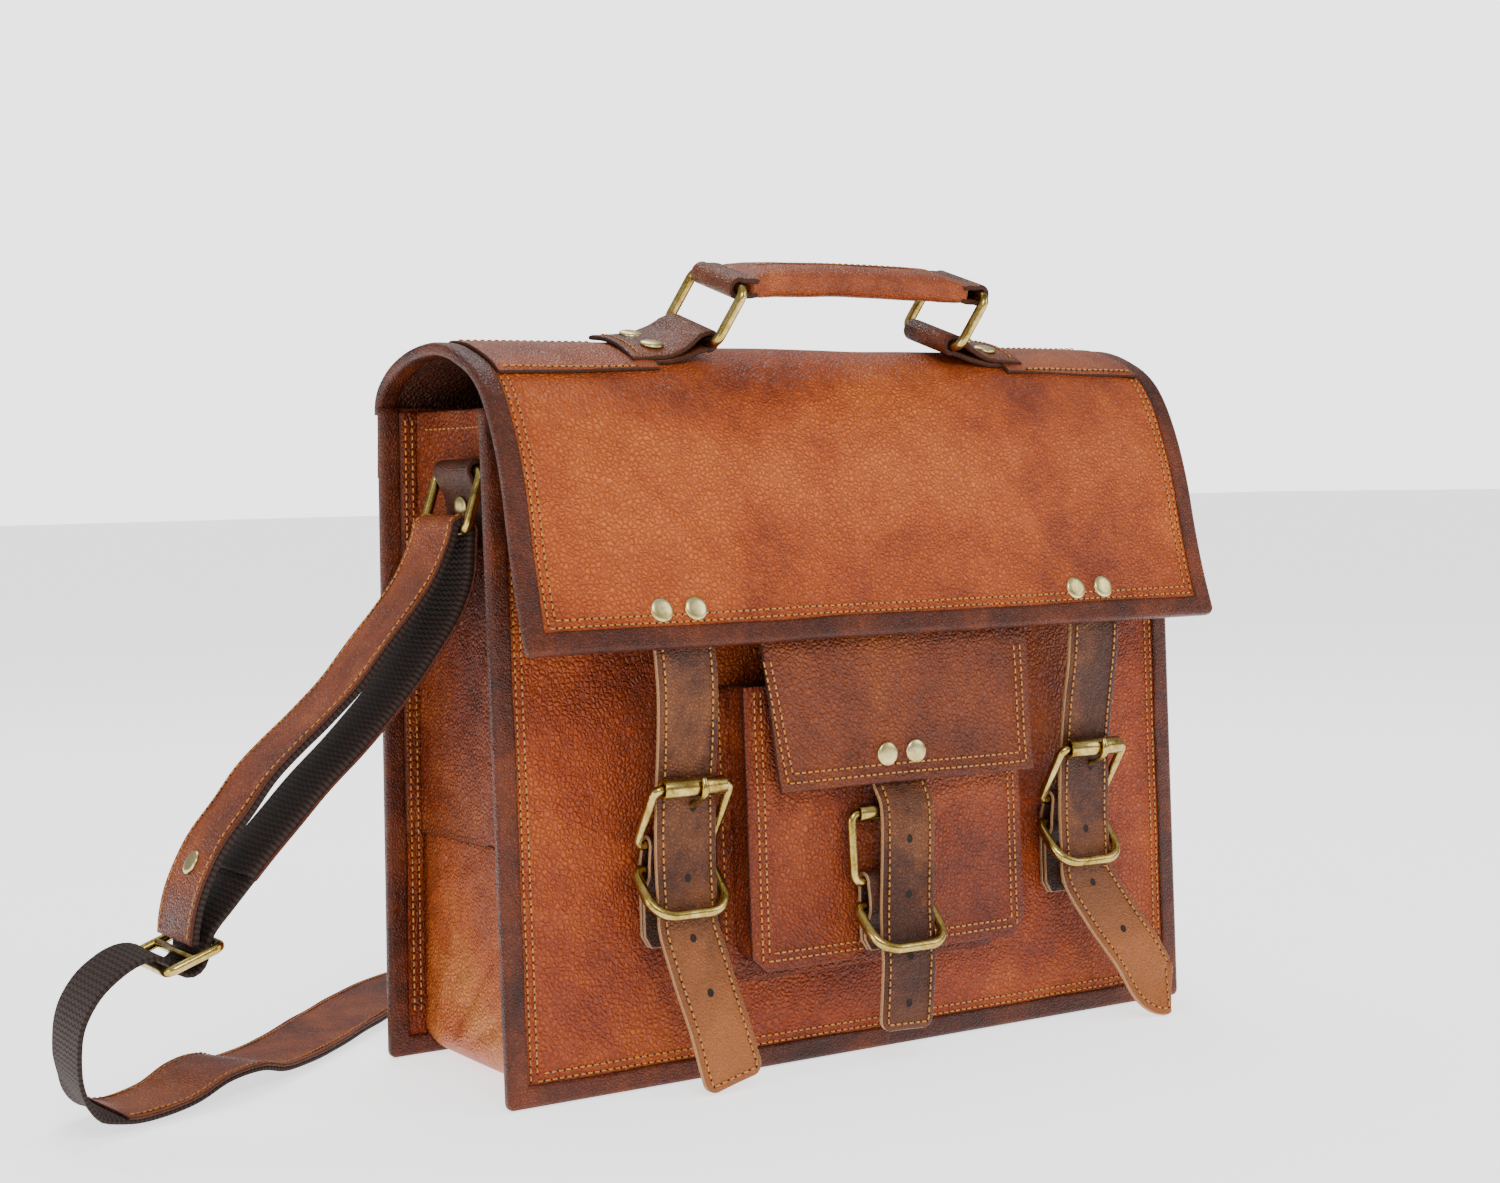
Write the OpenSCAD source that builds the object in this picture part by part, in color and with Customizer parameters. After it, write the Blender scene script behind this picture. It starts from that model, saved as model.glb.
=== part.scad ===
// Leather satchel: bag body, flap, handle on rings, two strap buckles, front pocket, shoulder strap.
// Millimetres. X runs across the bag, -Y is the front, +Z is up, the base stands on z = 0.

/* [Body] */
// Width of the bag over its bound edges
body_w = 355; // [345:1:365]
// Thickness of the panel leather
leather_t = 3; // [2.4:0.1:3.2]
// Width of the leather binding on the edges
binding_w = 9; // [7:0.5:10]

/* [Straps and hardware] */
// Width of the closing straps
strap_w = 28; // [24:0.5:28]
// Width of the shoulder strap
shoulder_w = 38; // [34:1:38]
// Diameter of a rivet cap
rivet_d = 10.4; // [9:0.2:11]
// Thickness of the wire of the rings
ring_wire = 4.5; // [4:0.1:4.6]

/* [Hidden] */
$fn = 48;

half_w = body_w / 2;
front_y = -58;
lean = 1.62;
front_top = 279;
back_top = 283;
binding_t = 1.2;
gusset_x = 158;
gusset_t = 2.5;
seam_z = 100;
bend = 0.1;

// ---- helpers -------------------------------------------------------------

// a point given as across, out from the front panel, up along it
function fp(x, o, z) = [x, front_y - o * cos(lean) + z * sin(lean), o * sin(lean) + z * cos(lean)];

// a smooth curve through the points p, n steps a span
function spline_pt(a, b, c, d, t) =
    0.5 * ((2 * b) + (c - a) * t + (2 * a - 5 * b + 4 * c - d) * t * t + (3 * b - a - 3 * c + d) * t * t * t);
function spline(p, n) = [
    for (i = [0 : len(p) - 2], k = [0 : (i == len(p) - 2 ? n : n - 1)])
        spline_pt(p[max(i - 1, 0)], p[i], p[i + 1], p[min(i + 2, len(p) - 1)], k / n)];

function unit(v) = v / norm(v);
function tangent(p, i) = unit(p[min(i + 1, len(p) - 1)] - p[max(i - 1, 0)]);
function shifted(p, d) = [for (i = [0 : len(p) - 1]) let (t = tangent(p, i)) p[i] + d * [-t[1], t[0]]];
function reversed(p) = [for (i = [len(p) - 1 : -1 : 0]) p[i]];

// a flat band between the offsets a and b of a plane curve
module band(p, a, b) {
    polygon(concat(shifted(p, a), reversed(shifted(p, b))));
}

// the same band, between the curve's points i and j only
module band_part(p, a, b, i, j) {
    low = shifted(p, a);
    high = shifted(p, b);
    polygon(concat([for (k = [i : j]) low[k]], [for (k = [j : -1 : i]) high[k]]));
}

// stands a (y, z) drawing up and gives it the width from x0 to x1
module across(x0, x1) {
    translate([x0, 0, 0]) rotate([90, 0, 90]) linear_extrude(x1 - x0) children();
}

// stands an (x, z) drawing up and gives it the depth from y0 to y1
module through(y0, y1) {
    translate([0, y1, 0]) rotate([90, 0, 0]) linear_extrude(y1 - y0) children();
}

module on_front() {
    translate([0, front_y, 0]) rotate([-lean, 0, 0]) children();
}

module above_floor() {
    difference() {
        children();
        translate([-400, -400, -50]) cube([800, 800, 50]);
    }
}

// a flat strap along the points p, its width as near to the direction side as it can lie
function strap_rings(p, side, w, t) = [
    for (i = [0 : len(p) - 1])
        let (d = tangent(p, i), s0 = is_list(side[0]) ? side[i] : side)
        let (s = unit(s0 - (s0 * d) * d), n = cross(d, s))
        each [p[i] - s * w / 2 - n * t / 2, p[i] + s * w / 2 - n * t / 2,
              p[i] + s * w / 2 + n * t / 2, p[i] - s * w / 2 + n * t / 2]];
module flat_strap(p, side, w, t) {
    n = len(p);
    polyhedron(strap_rings(p, side, w, t), concat(
        [[0, 1, 2], [0, 2, 3]],
        [for (i = [0 : n - 2], k = [0 : 3]) [i * 4 + k, i * 4 + 4 + k, i * 4 + (k + 1) % 4]],
        [for (i = [0 : n - 2], k = [0 : 3]) [i * 4 + 4 + k, i * 4 + 4 + (k + 1) % 4, i * 4 + (k + 1) % 4]],
        [[n * 4 - 4, n * 4 - 2, n * 4 - 3], [n * 4 - 4, n * 4 - 1, n * 4 - 2]]));
}

// a closed wire loop: first bar on the X axis at z = 0, second bar at z = h
module wire_loop(w, h, low_r, top_r, r) {
    a = w / 2;
    translate([-a + low_r, 0, 0]) rotate([0, 90, 0]) cylinder(r = r, h = w - 2 * low_r);
    translate([-a + top_r, 0, h]) rotate([0, 90, 0]) cylinder(r = r, h = w - 2 * top_r);
    for (s = [-1, 1]) {
        translate([s * a, 0, low_r]) cylinder(r = r, h = h - low_r - top_r);
        wire_corner(s, a - low_r, low_r, low_r, r, 0);
        wire_corner(s, a - top_r, h - top_r, top_r, r, 1);
    }
}
module wire_corner(s, x, z, big, r, top) {
    translate([s * x, 0, z]) rotate([90, 0, 0]) rotate([0, 0, top ? (s > 0 ? 0 : 90) : (s > 0 ? 270 : 180)])
        rotate_extrude(angle = 90) translate([big, 0]) circle(r);
}

// a domed rivet cap standing on z = 0
module rivet_cap() {
    cylinder(d = rivet_d, h = 0.8);
    translate([0, 0, 0.8]) cylinder(d1 = rivet_d, d2 = rivet_d * 0.55, h = 1.2);
}

// ---- body ----------------------------------------------------------------

panel_half = half_w - binding_t;
panel_in = leather_t + 0.2 + gusset_t;

module panel_plate(top) {
    linear_extrude(leather_t) panel_outline(top);
}
module panel_outline(top) {
    difference() {
        translate([-panel_half, binding_t]) square([panel_half * 2, top - binding_t]);
        for (s = [-1, 1])
            translate([s * panel_half, binding_t]) rotate(45) square(7, center = true);
    }
}
module stand_panel() {
    // lifts a drawing made in X and Y up on to the front face, its thickness going inwards
    on_front() rotate([90, 0, 0]) mirror([0, 0, 1]) children();
}
module binding_ring(top) {
    difference() {
        translate([0, 0, -binding_t]) linear_extrude(leather_t + 2 * binding_t) difference() {
            translate([-half_w, 0]) square([half_w * 2, top]);
            translate([-half_w + binding_w, binding_w]) square([half_w * 2 - 2 * binding_w, top]);
            for (s = [-1, 1])
                translate([s * half_w, 0]) rotate(45) square(7, center = true);
        }
        linear_extrude(leather_t) panel_outline(top + 1);
    }
}
module front_panel() {
    color("chocolate") stand_panel() panel_plate(front_top);
}
module back_panel() {
    color("chocolate") mirror([0, 1, 0]) stand_panel() panel_plate(back_top);
}
module front_binding() {
    color("saddlebrown") above_floor() stand_panel() binding_ring(front_top);
}
module back_binding() {
    color("saddlebrown") above_floor() mirror([0, 1, 0]) stand_panel() binding_ring(back_top);
}

module body_rivets() {
    color("gold") {
        for (s = [-1, 1])
            translate([s * (gusset_x + 5.05), 0, 243]) rotate([0, s * 90, 0]) rivet_cap();
        for (x = [left_x, right_x], z = [64, 76.2])
            on_front() translate([x, -5.9, z]) rotate([90, 0, 0]) rivet_cap();
        on_front() translate([pocket_x, -pocket_face - 5.9, 53]) rotate([90, 0, 0]) rivet_cap();
    }
}

// keeps what lies between the two leaning panels, with a gap to their inner faces
module between_panels(gap) {
    intersection() {
        children();
        rotate([90, 0, 90]) translate([0, 0, -400]) linear_extrude(800)
            polygon([[front_y + leather_t + gap, -20], [-front_y - leather_t - gap, -20],
                     [-front_y - leather_t - gap - 340 * tan(lean), 320],
                     [front_y + leather_t + gap + 340 * tan(lean), 320]]);
    }
}
module flange(s, z0, z1) {
    // outward margin of the gusset, lying on both panels inside their bindings
    x0 = s > 0 ? gusset_x - gusset_t : -half_w + binding_w + 0.4;
    x1 = s > 0 ? half_w - binding_w - 0.4 : -gusset_x + gusset_t;
    difference() {
        between_panels(0.1) translate([x0, -70, z0]) cube([x1 - x0, 140, z1 - z0]);
        between_panels(gusset_t) translate([x0 - 1, -70, z0 - 1]) cube([x1 - x0 + 2, 140, z1 - z0 + 2]);
    }
}
module gusset_lower() {
    color("peru") union() {
        between_panels(binding_t + 0.2) translate([-gusset_x, -70, 0]) cube([gusset_x * 2, 140, gusset_t]);
        for (s = [-1, 1]) {
            between_panels(binding_t + 0.2) translate([s > 0 ? gusset_x - gusset_t : -gusset_x, -70, 0])
                cube([gusset_t, 140, 12]);
            between_panels(0.1) translate([s > 0 ? gusset_x - gusset_t : -gusset_x, -70, 11])
                cube([gusset_t, 140, seam_z - 11]);
            between_panels(3) translate([s > 0 ? gusset_x - 2 * gusset_t + 0.5 : -gusset_x + gusset_t - 0.5, -70, seam_z - 8])
                cube([gusset_t, 140, 16]);
            flange(s, 12, seam_z);
        }
    }
}
module gusset_upper(s) {
    difference() {
        union() {
            between_panels(0.1) translate([s > 0 ? gusset_x - gusset_t : -gusset_x, -70, seam_z])
                cube([gusset_t, 140, back_top - 2 - seam_z]);
            flange(s, seam_z, back_top - 4.5);
            between_panels(3) translate([s > 0 ? gusset_x - 2 * gusset_t : -gusset_x + gusset_t, -70, 266])
                cube([gusset_t, 140, back_top - 2 - 266]);
        }
        translate([s > 0 ? gusset_x - 2 * gusset_t : -gusset_x + gusset_t - 0.5, -80, seam_z - 1])
            cube([gusset_t + 0.5, 160, 9.2]);
    }
}
module gusset_upper_left() {
    color("peru") gusset_upper(-1);
}
module gusset_upper_right() {
    color("peru") gusset_upper(1);
}
module lining() {
    x1 = gusset_x - 2 * gusset_t - 0.4;
    color("tan") difference() {
        between_panels(3) translate([-x1, -70, gusset_t + 0.3]) cube([x1 * 2, 140, 262]);
        between_panels(4) translate([-x1 + 1, -70, gusset_t + 1.3]) cube([x1 * 2 - 2, 140, 400]);
    }
}
module flap_seat() {
    color("sienna") mirror([0, 1, 0]) on_front() translate([-half_w + binding_w + 1, -3.2, 252])
        cube([body_w - 2 * binding_w - 2, 2.8, back_top - 252]);
}

// leather loop and tab that hold a side ring
side_bar = [gusset_x + 5.2, 255];
side_lean = 18;
side_drop = 25.5;
side_low = side_bar + side_drop * [sin(side_lean), -cos(side_lean)];
loop_gap = 0.05;
loop_out = ring_wire / 2 + 2.5;
loop_w = 33;

module side_loop() {
    difference() {
        union() {
            translate([gusset_x + 0.2, -loop_w / 2, 224]) cube([4.8, loop_w, 31]);
            translate([side_bar[0], -loop_w / 2, side_bar[1]]) rotate([-90, 0, 0]) cylinder(r = loop_out, h = loop_w);
        }
        translate([side_bar[0], -50, side_bar[1]]) rotate([-90, 0, 0]) cylinder(r = ring_wire / 2 + loop_gap, h = 100);
        translate([gusset_x - 9.8, -50, 200]) cube([10, 100, 100]);
    }
}
module side_loop_left() {
    color("sienna") mirror([1, 0, 0]) side_loop();
}
module side_loop_right() {
    color("sienna") side_loop();
}
module side_ring() {
    translate([side_bar[0], 0, side_bar[1]]) rotate([0, 180 - side_lean, 0]) rotate([0, 0, 90])
        wire_loop(41.5, side_drop, 4, 4, ring_wire / 2);
}
module side_ring_left() {
    color("goldenrod") mirror([1, 0, 0]) side_ring();
}
module side_ring_right() {
    color("goldenrod") side_ring();
}

// ---- buckles: positions as out from the surface they sit on, and up -------

heel = [8, 101];
pivot = [6, 91];
frame_r = 2;
frame_len = 29;
frame_out = 35;
keeper_len = 24;
keeper_out = 42;
roller_r = 3.6;
buckle_w = 36;
chape_w = 27;
left_x = -101.5;
right_x = 109.5;
pocket_x = -6;
// the pocket buckle sits on the pocket's face and lies flat under its strap
pocket_face = 20;
pocket_heel = [pocket_face + 5, 77.5];
pocket_pivot = [pocket_face + 5.2, 67.5];
pocket_frame_out = -2;
pocket_keeper_out = 46;

// places a loop or a ring drawn up along Z at a pivot on the front, tilted out from it
module at_pivot(x, p, out) {
    on_front() translate([x, -p[0], p[1]]) rotate([out, 0, 0]) children();
}
function around(c, r, a0, a1, n) = [for (i = [0 : n]) c + r * [cos(a0 + (a1 - a0) * i / n), sin(a0 + (a1 - a0) * i / n)]];

module chape(h, v, face, end_z, slot) {
    // outline in out and up, taken round the heel bar at the top
    difference() {
        translate([-chape_w / 2, 0, 0]) rotate([90, 0, 90]) linear_extrude(chape_w) mirror([1, 0])
            polygon(concat(
                [[face + 0.3, end_z], [face + 5.3, end_z], [face + 5.8, v[1] - 9], [v[0] + 4.9, v[1] - 3],
                 [v[0] + 4.9, v[1] + 3]],
                around(h, 4.6, -10, 190, 14),
                [[v[0] - 4.9, v[1] + 2], [face + 0.3, v[1] - 3]]));
        translate([-50, -h[0], h[1]]) rotate([0, 90, 0]) cylinder(r = frame_r + 0.1, h = 100);
        translate([-50, -v[0], v[1]]) rotate([0, 90, 0]) cylinder(r = ring_wire / 2 + 0.1, h = 100);
        if (slot) translate([-3, -h[0] - 12, h[1] - 4.8]) cube([6, 24, 20]);
        for (s = [-1, 1])
            translate([s * chape_w / 2, 0, end_z]) rotate([0, 45, 0]) cube([8, 100, 8], center = true);
    }
}
module chape_left() {
    color("sienna") on_front() translate([left_x, 0, 0]) chape(heel, pivot, 0, 58, true);
}
module chape_right() {
    color("sienna") on_front() translate([right_x, 0, 0]) chape(heel, pivot, 0, 58, true);
}
module pocket_chape() {
    color("sienna") on_front() translate([pocket_x, 0, 0]) chape(pocket_heel, pocket_pivot, pocket_face, 48, true);
}

module buckle_frame() {
    wire_loop(buckle_w, frame_len, 4, 4, frame_r);
}
module buckle_left() {
    color("goldenrod") at_pivot(left_x, heel, frame_out) buckle_frame();
}
module buckle_right() {
    color("goldenrod") at_pivot(right_x, heel, frame_out) buckle_frame();
}
module buckle_pocket() {
    color("goldenrod") at_pivot(pocket_x, pocket_heel, pocket_frame_out) buckle_frame();
}
module roller() {
    translate([-13.5, 0, frame_len]) rotate([0, 90, 0]) difference() {
        cylinder(r = roller_r, h = 27);
        translate([0, 0, -1]) cylinder(r = frame_r + 0.1, h = 30);
    }
}
module roller_left() {
    color("gold") at_pivot(left_x, heel, frame_out) roller();
}
module roller_right() {
    color("gold") at_pivot(right_x, heel, frame_out) roller();
}
module roller_pocket() {
    color("gold") at_pivot(pocket_x, pocket_heel, pocket_frame_out) roller();
}
// round pin: an eye on the heel bar, a shank, and a tip that rests on the roller
module pin(a, b, r) {
    d = b - a;
    translate(a) rotate([0, acos(d[2] / norm(d)), atan2(d[1], d[0])]) cylinder(r = r, h = norm(d));
}
module tongue(a, b, c, r) {
    difference() {
        union() {
            translate([-2, 0, 0]) rotate([0, 90, 0]) cylinder(r = 4, h = 4);
            pin(a, b, r);
            translate(b) sphere(r);
            pin(b, c, r);
            translate(c) sphere(r);
        }
        translate([-5, 0, 0]) rotate([0, 90, 0]) cylinder(r = frame_r + 0.08, h = 10);
    }
}
module front_tongue() {
    tongue([0, -2.2, 2.2], [0, -21.2, 18], [0, -22.3, 26], 1.3);
}
module tongue_left() {
    color("goldenrod") on_front() translate([left_x, -heel[0], heel[1]]) front_tongue();
}
module tongue_right() {
    color("goldenrod") on_front() translate([right_x, -heel[0], heel[1]]) front_tongue();
}
module tongue_pocket() {
    color("goldenrod") on_front() translate([pocket_x, -pocket_heel[0], pocket_heel[1]])
        tongue([0, -0.6, 3], [0, 2.6, 14], [0, 3.2, 18.6], 1.2);
}
module keeper_ring() {
    mirror([0, 0, 1]) wire_loop(buckle_w, keeper_len, 4, 9.5, ring_wire / 2);
}
module keeper_left() {
    color("goldenrod") at_pivot(left_x, pivot, -keeper_out) keeper_ring();
}
module keeper_right() {
    color("goldenrod") at_pivot(right_x, pivot, -keeper_out) keeper_ring();
}
module keeper_pocket() {
    color("goldenrod") at_pivot(pocket_x, pocket_pivot, -pocket_keeper_out) keeper_ring();
}

// ---- pocket --------------------------------------------------------------

pocket_half = 71.6;
pocket_low = 44;
pocket_top = 176;
pocket_gap = 17.3;

module pocket_front() {
    color("peru") on_front() translate([0, -pocket_face, 0]) rotate([90, 0, 0]) mirror([0, 0, 1])
        linear_extrude(2.5) difference() {
            translate([-pocket_half, pocket_low]) square([pocket_half * 2, pocket_top - pocket_low]);
            for (s = [-1, 1])
                translate([s * pocket_half, pocket_low]) rotate(45) square(14, center = true);
        }
}
module pocket_wall(grow) {
    translate([-pocket_half + 2 - grow, pocket_low + 2 - grow])
        square([(pocket_half - 2 + grow) * 2, pocket_top - pocket_low - 2 + grow]);
}
module pocket_gusset() {
    color("sienna") on_front() rotate([90, 0, 0]) union() {
        translate([0, 0, 0.3]) linear_extrude(pocket_gap - 0.4) difference() {
            pocket_wall(0);
            translate([0, 5]) pocket_wall(-2.5);
            translate([-80, pocket_low + 5]) square([0.01, 0.01]);
            translate([-pocket_half + 4.5, pocket_low + 4.5]) square([(pocket_half - 4.5) * 2, 200]);
        }
        translate([0, 0, 0.3]) linear_extrude(2.4) difference() {
            pocket_wall(7.5);
            translate([-pocket_half + 4.5, pocket_low + 4.5]) square([(pocket_half - 4.5) * 2, 200]);
            translate([-200, pocket_top]) square([400, 50]);
        }
    }
}

pocket_flap_x0 = -61.5;
pocket_flap_x1 = 71.5;
pocket_flap_t = 2.5;
pocket_hinge = [22.6, 184.2];
pocket_flap_line = spline([[23.8, 182.6], [25.5, 176], [26.3, 160], [26.6, 140], [27, 130], [28, 118.5]], 4);

module pocket_flap_top() {
    line = spline([[1.8, 199], [1.8, 192], [4.5, 187.6], [11, 186.4], [17, 186.2], [20.4, 185.6]], 4);
    color("peru") on_front() mirror([0, 1, 0]) across(pocket_flap_x0, pocket_flap_x1)
        band(line, -1.25, 1.25);
}
module pocket_flap() {
    color("peru") on_front() mirror([0, 1, 0]) across(pocket_flap_x0, pocket_flap_x1)
        band(pocket_flap_line, -pocket_flap_t / 2, pocket_flap_t / 2);
}
module pocket_flap_rivets() {
    color("gold") for (x = [-7, 8])
        on_front() translate([x, -28.65, 131]) rotate([88, 0, 0]) rivet_cap();
}
pocket_strap_line = spline([
    fp(0.5, 22.6, 150), fp(0.5, 22.8, 140), fp(0.5, 23.1, 131), fp(1, 24.4, 119.5), fp(1, 29, 111.5), fp(0.5, 30.8, 105),
    fp(-0.5, 31.8, 92), fp(-1.5, 32.2, 80), fp(-3, 33.4, 69), fp(-5, 35.8, 58), fp(-6, 37.2, 51),
    fp(-6.2, 37.6, 44), fp(-6.8, 36.8, 30), fp(-7.5, 35.5, 15)], 3);
module pocket_strap() {
    color("sienna") flat_strap(pocket_strap_line, [1, 0, 0], strap_w - 1, 2.6);
}

// ---- flap ----------------------------------------------------------------

flap_hinge = [51.5, 285.5];
flap_outer = spline([[52.6, 286.8], [47.5, 292], [38, 298.2], [26, 302.6], [12, 305.6], [-4, 306.6], [-18, 305.2],
                     [-30, 301.6], [-41, 296.4], [-50, 288.6], [-57.5, 277], [-64, 262], [-69, 245],
                     [-73.5, 225], [-79, 204], [-83, 192], [-86, 184]], 4);
flap_t = 3;
// the strip keeps its place on the outside of the leather between two depths
top_strip_line = [for (q = flap_outer) if (q[0] < -1.5 && q[0] > -45.5) q];
flap_last = len(flap_outer) - 1;
flap_end = flap_outer[len(flap_outer) - 1];
flap_end_dir = tangent(flap_outer, len(flap_outer) - 1);

module flap_corner_cut(size) {
    for (s = [-1, 1])
        translate([s * half_w, -70, flap_end[1] - 1.5]) rotate([0, 45, 0]) cube([size, 60, size], center = true);
}
module flap_panel() {
    color("chocolate") difference() {
        across(-panel_half, panel_half) band(flap_outer, 0, flap_t);
        flap_corner_cut(9);
    }
}
module flap_binding() {
    color("saddlebrown") difference() {
        union() {
            across(-half_w, half_w) band_part(flap_outer, -binding_t, flap_t + binding_t, 3, flap_last);
            translate([-half_w, 0, 0]) across(0, body_w) polygon([
                flap_end + [-flap_end_dir[1], flap_end_dir[0]] * -binding_t - flap_end_dir * 0.4,
                flap_end + [-flap_end_dir[1], flap_end_dir[0]] * -binding_t + flap_end_dir * binding_t,
                flap_end + [-flap_end_dir[1], flap_end_dir[0]] * (flap_t + binding_t) + flap_end_dir * binding_t,
                flap_end + [-flap_end_dir[1], flap_end_dir[0]] * (flap_t + binding_t) - flap_end_dir * 0.4]);
        }
        across(-half_w + binding_w, half_w - binding_w) band_part(flap_outer, -2.5, flap_t + 2.5, 1, flap_last - 3);
        across(-panel_half, panel_half) band(flap_outer, 0, flap_t);
        flap_corner_cut(8);
    }
}

// handle anchors, in the frame of the ring bars: Y along the bar, Z out of the flap
anchor_x = 64.3;
anchor_y = -24.2;
anchor_z = 312.2;
anchor_tilt = 17;
ring_lean = 25;
ring_drop = 25.5;
module on_bar(x) {
    translate([x, anchor_y, anchor_z]) rotate([anchor_tilt, 0, 0]) children();
}
module handle_anchor(s) {
    difference() {
        union() {
            across(s > 0 ? 97 : -half_w + binding_w + 0.4, s > 0 ? half_w - binding_w - 0.4 : -97)
                band(top_strip_line, -2.5, -0.2);
            on_bar(s * anchor_x) {
                translate([s > 0 ? 0 : -36, -19, -6.9]) cube([36, 38, 4.8]);
                translate([0, -loop_w / 2, 0]) rotate([-90, 0, 0]) cylinder(r = loop_out, h = loop_w);
            }
        }
        on_bar(s * anchor_x) {
            translate([0, -50, 0]) rotate([-90, 0, 0]) cylinder(r = ring_wire / 2 + loop_gap, h = 100);
            for (e = [-1, 1])
                translate([-9, e > 0 ? loop_w / 2 : -loop_w / 2 - 10, -12]) cube([18, 10, 24]);
        }
        across(-200, 200) band(flap_outer, -0.1, flap_t + 3);
    }
}
module handle_anchor_left() {
    color("sienna") handle_anchor(-1);
}
module handle_anchor_right() {
    color("sienna") handle_anchor(1);
}
module flap_rivets() {
    color("gold") {
        for (s = [-1, 1], d = [-8, 8])
            translate([s * 107.3 + d, -81.3, 197.8]) rotate([90 - 18.3, 0, 0]) rivet_cap();
        for (s = [-1, 1], d = [-9, 9])
            on_bar(s * (anchor_x + 24)) translate([0, d, -2.05]) rivet_cap();
    }
}

module handle_ring(s) {
    on_bar(s * anchor_x) rotate([0, ring_lean, 0]) rotate([0, 0, 90])
        wire_loop(41.5, ring_drop, 4, 4, ring_wire / 2);
}
module handle_ring_left() {
    color("goldenrod") handle_ring(-1);
}
module handle_ring_right() {
    color("goldenrod") handle_ring(1);
}
module handle() {
    color("sienna") on_bar(0) translate([ring_drop * sin(ring_lean), 0, ring_drop * cos(ring_lean)]) difference() {
        union() {
            for (s = [-1, 1]) {
                translate([s * anchor_x, -loop_w / 2, 0]) rotate([-90, 0, 0]) cylinder(r = loop_out, h = loop_w);
                translate([s > 0 ? 44 : -anchor_x, -loop_w / 2, -2.6]) cube([anchor_x - 44, loop_w, 5.2]);
            }
            rotate([90, 0, 90]) translate([0, 0, -56]) linear_extrude(112) {
                square([11, 13], center = true);
                for (e = [-1, 1])
                    translate([e * 5.5, 0]) circle(6.5);
            }
        }
        for (s = [-1, 1])
            translate([s * anchor_x, -50, 0]) rotate([-90, 0, 0])
                cylinder(r = ring_wire / 2 + (s < 0 ? loop_gap : 0.3), h = 100);
    }
}

// ---- closing straps ------------------------------------------------------

function strap_route(x0, x1, x2, x3, x4) = spline([
    fp(x0, 20.9, 207), fp(x0, 23, 198), fp(x0, 25, 189.5), fp(x0, 26.2, 181), fp((x0 + x1) / 2, 25.4, 166), fp(x1, 21.8, 144),
    fp(x1, 19, 126), fp(x1, 17.6, 113), fp(x1, 16.8, 101), fp(x1, 16.6, 91), fp(x1, 16.8, 82),
    fp(x1, 17, 74), fp(x1 * 0.98 + x2 * 0.02, 17.6, 66), fp(x2, 20, 50), fp(x3, 23.4, 30), fp((x3 + x4) / 2, 25.6, 15),
    fp(x4, 26.6, 3.6)], 3);
left_route = strap_route(-104, -101.5, -98, -93.5, -87.5);
right_route = strap_route(111, 109.5, 119, 132, 150);
module closing_strap(route, x) {
    difference() {
        flat_strap(route, [1, 0, 0], strap_w, 2.8);
        on_front() translate([x - 2.4, -30, 104]) cube([4.8, 30, 14]);
        translate([-300, -200, -20]) cube([600, 300, 20.4]);
    }
}
module strap_left() {
    color("sienna") closing_strap(left_route, left_x);
}
module strap_right() {
    color("sienna") closing_strap(right_route, right_x);
}

// ---- shoulder strap ------------------------------------------------------

slider_bar = [-291, 70];
slider_tilt = 20;
run_t = 2.8;
web_t = 2.2;
wrap_r = ring_wire / 2 + 0.3 + run_t / 2;
outer_run = spline([[-289.6, 74.4], [-288.6, 82], [-286, 92], [-281, 103], [-275, 113], [-266, 124], [-256, 136],
                    [-244, 147], [-232, 157], [-219, 169], [-206, 184], [-194, 198], [-184.5, 210], [-178.4, 221],
                    [-side_low[0] - wrap_r - 0.2, side_low[1] - 1]], 3);
inner_run = spline([[-side_low[0] + wrap_r + 0.2, side_low[1] - 1], [-167.6, 222], [-168.6, 211], [-173.5, 199],
                    [-182, 186], [-192, 173], [-203.8, 160], [-217, 147], [-231, 134], [-242.5, 122.5], [-255, 110],
                    [-266, 98.2]], 3);
module shoulder_strap_run() {
    y0 = -shoulder_w / 2;
    color("saddlebrown") difference() {
        through(y0, -y0) {
            difference() {
                union() {
                    band(outer_run, -run_t / 2, run_t / 2);
                    translate(slider_bar) circle(1.75 + 0.25 + run_t);
                }
                translate(slider_bar) circle(1.75 + 0.25);
            }
            band(inner_run, -run_t / 2, run_t / 2);
        }
    }
    color("saddlebrown") through(-15.5, 15.5) difference() {
        translate([-side_low[0], side_low[1]]) circle(wrap_r + run_t / 2);
        translate([-side_low[0], side_low[1]]) circle(wrap_r - run_t / 2);
        translate([-side_low[0] - 20, side_low[1] - 20]) square([40, 19.5]);
    }
}
tail_points = [
    [-268, 0, 95.8], [-274.8, 0, 87.2], [-281.8, 0, 79.4], [-284.4, 0, 73.6], [-285.6, 0, 67.4], [-289.6, 0, 63.4], [-294.8, 0, 63.8],
    [-297.6, 0, 67.4], [-302.4, 0, 70.6], [-309, 0, 71], [-317, 1, 67.4], [-325, 3, 60], [-330.6, 6, 49],
    [-332, 9, 37], [-330, 13, 24], [-324, 18, 13], [-314, 23, 6], [-301, 29, 3], [-284, 36, 3.2], [-266, 45, 4.6],
    [-246, 57, 6.6], [-226, 73, 8.5], [-205, 92, 9.8], [-180, 116, 10.6], [-150, 146, 11], [-118, 174, 9],
    [-80, 192, 6], [-35, 202, 4], [15, 203, 3], [65, 195, 3], [110, 178, 3], [150, 150, 3], [180, 114, 3.4],
    [198, 74, 5], [205, 42, 12], [205, 20, 30], [199, 7, 60], [190, 2, 100], [182, 0, 145], [177.6, 0, 186]];
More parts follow.
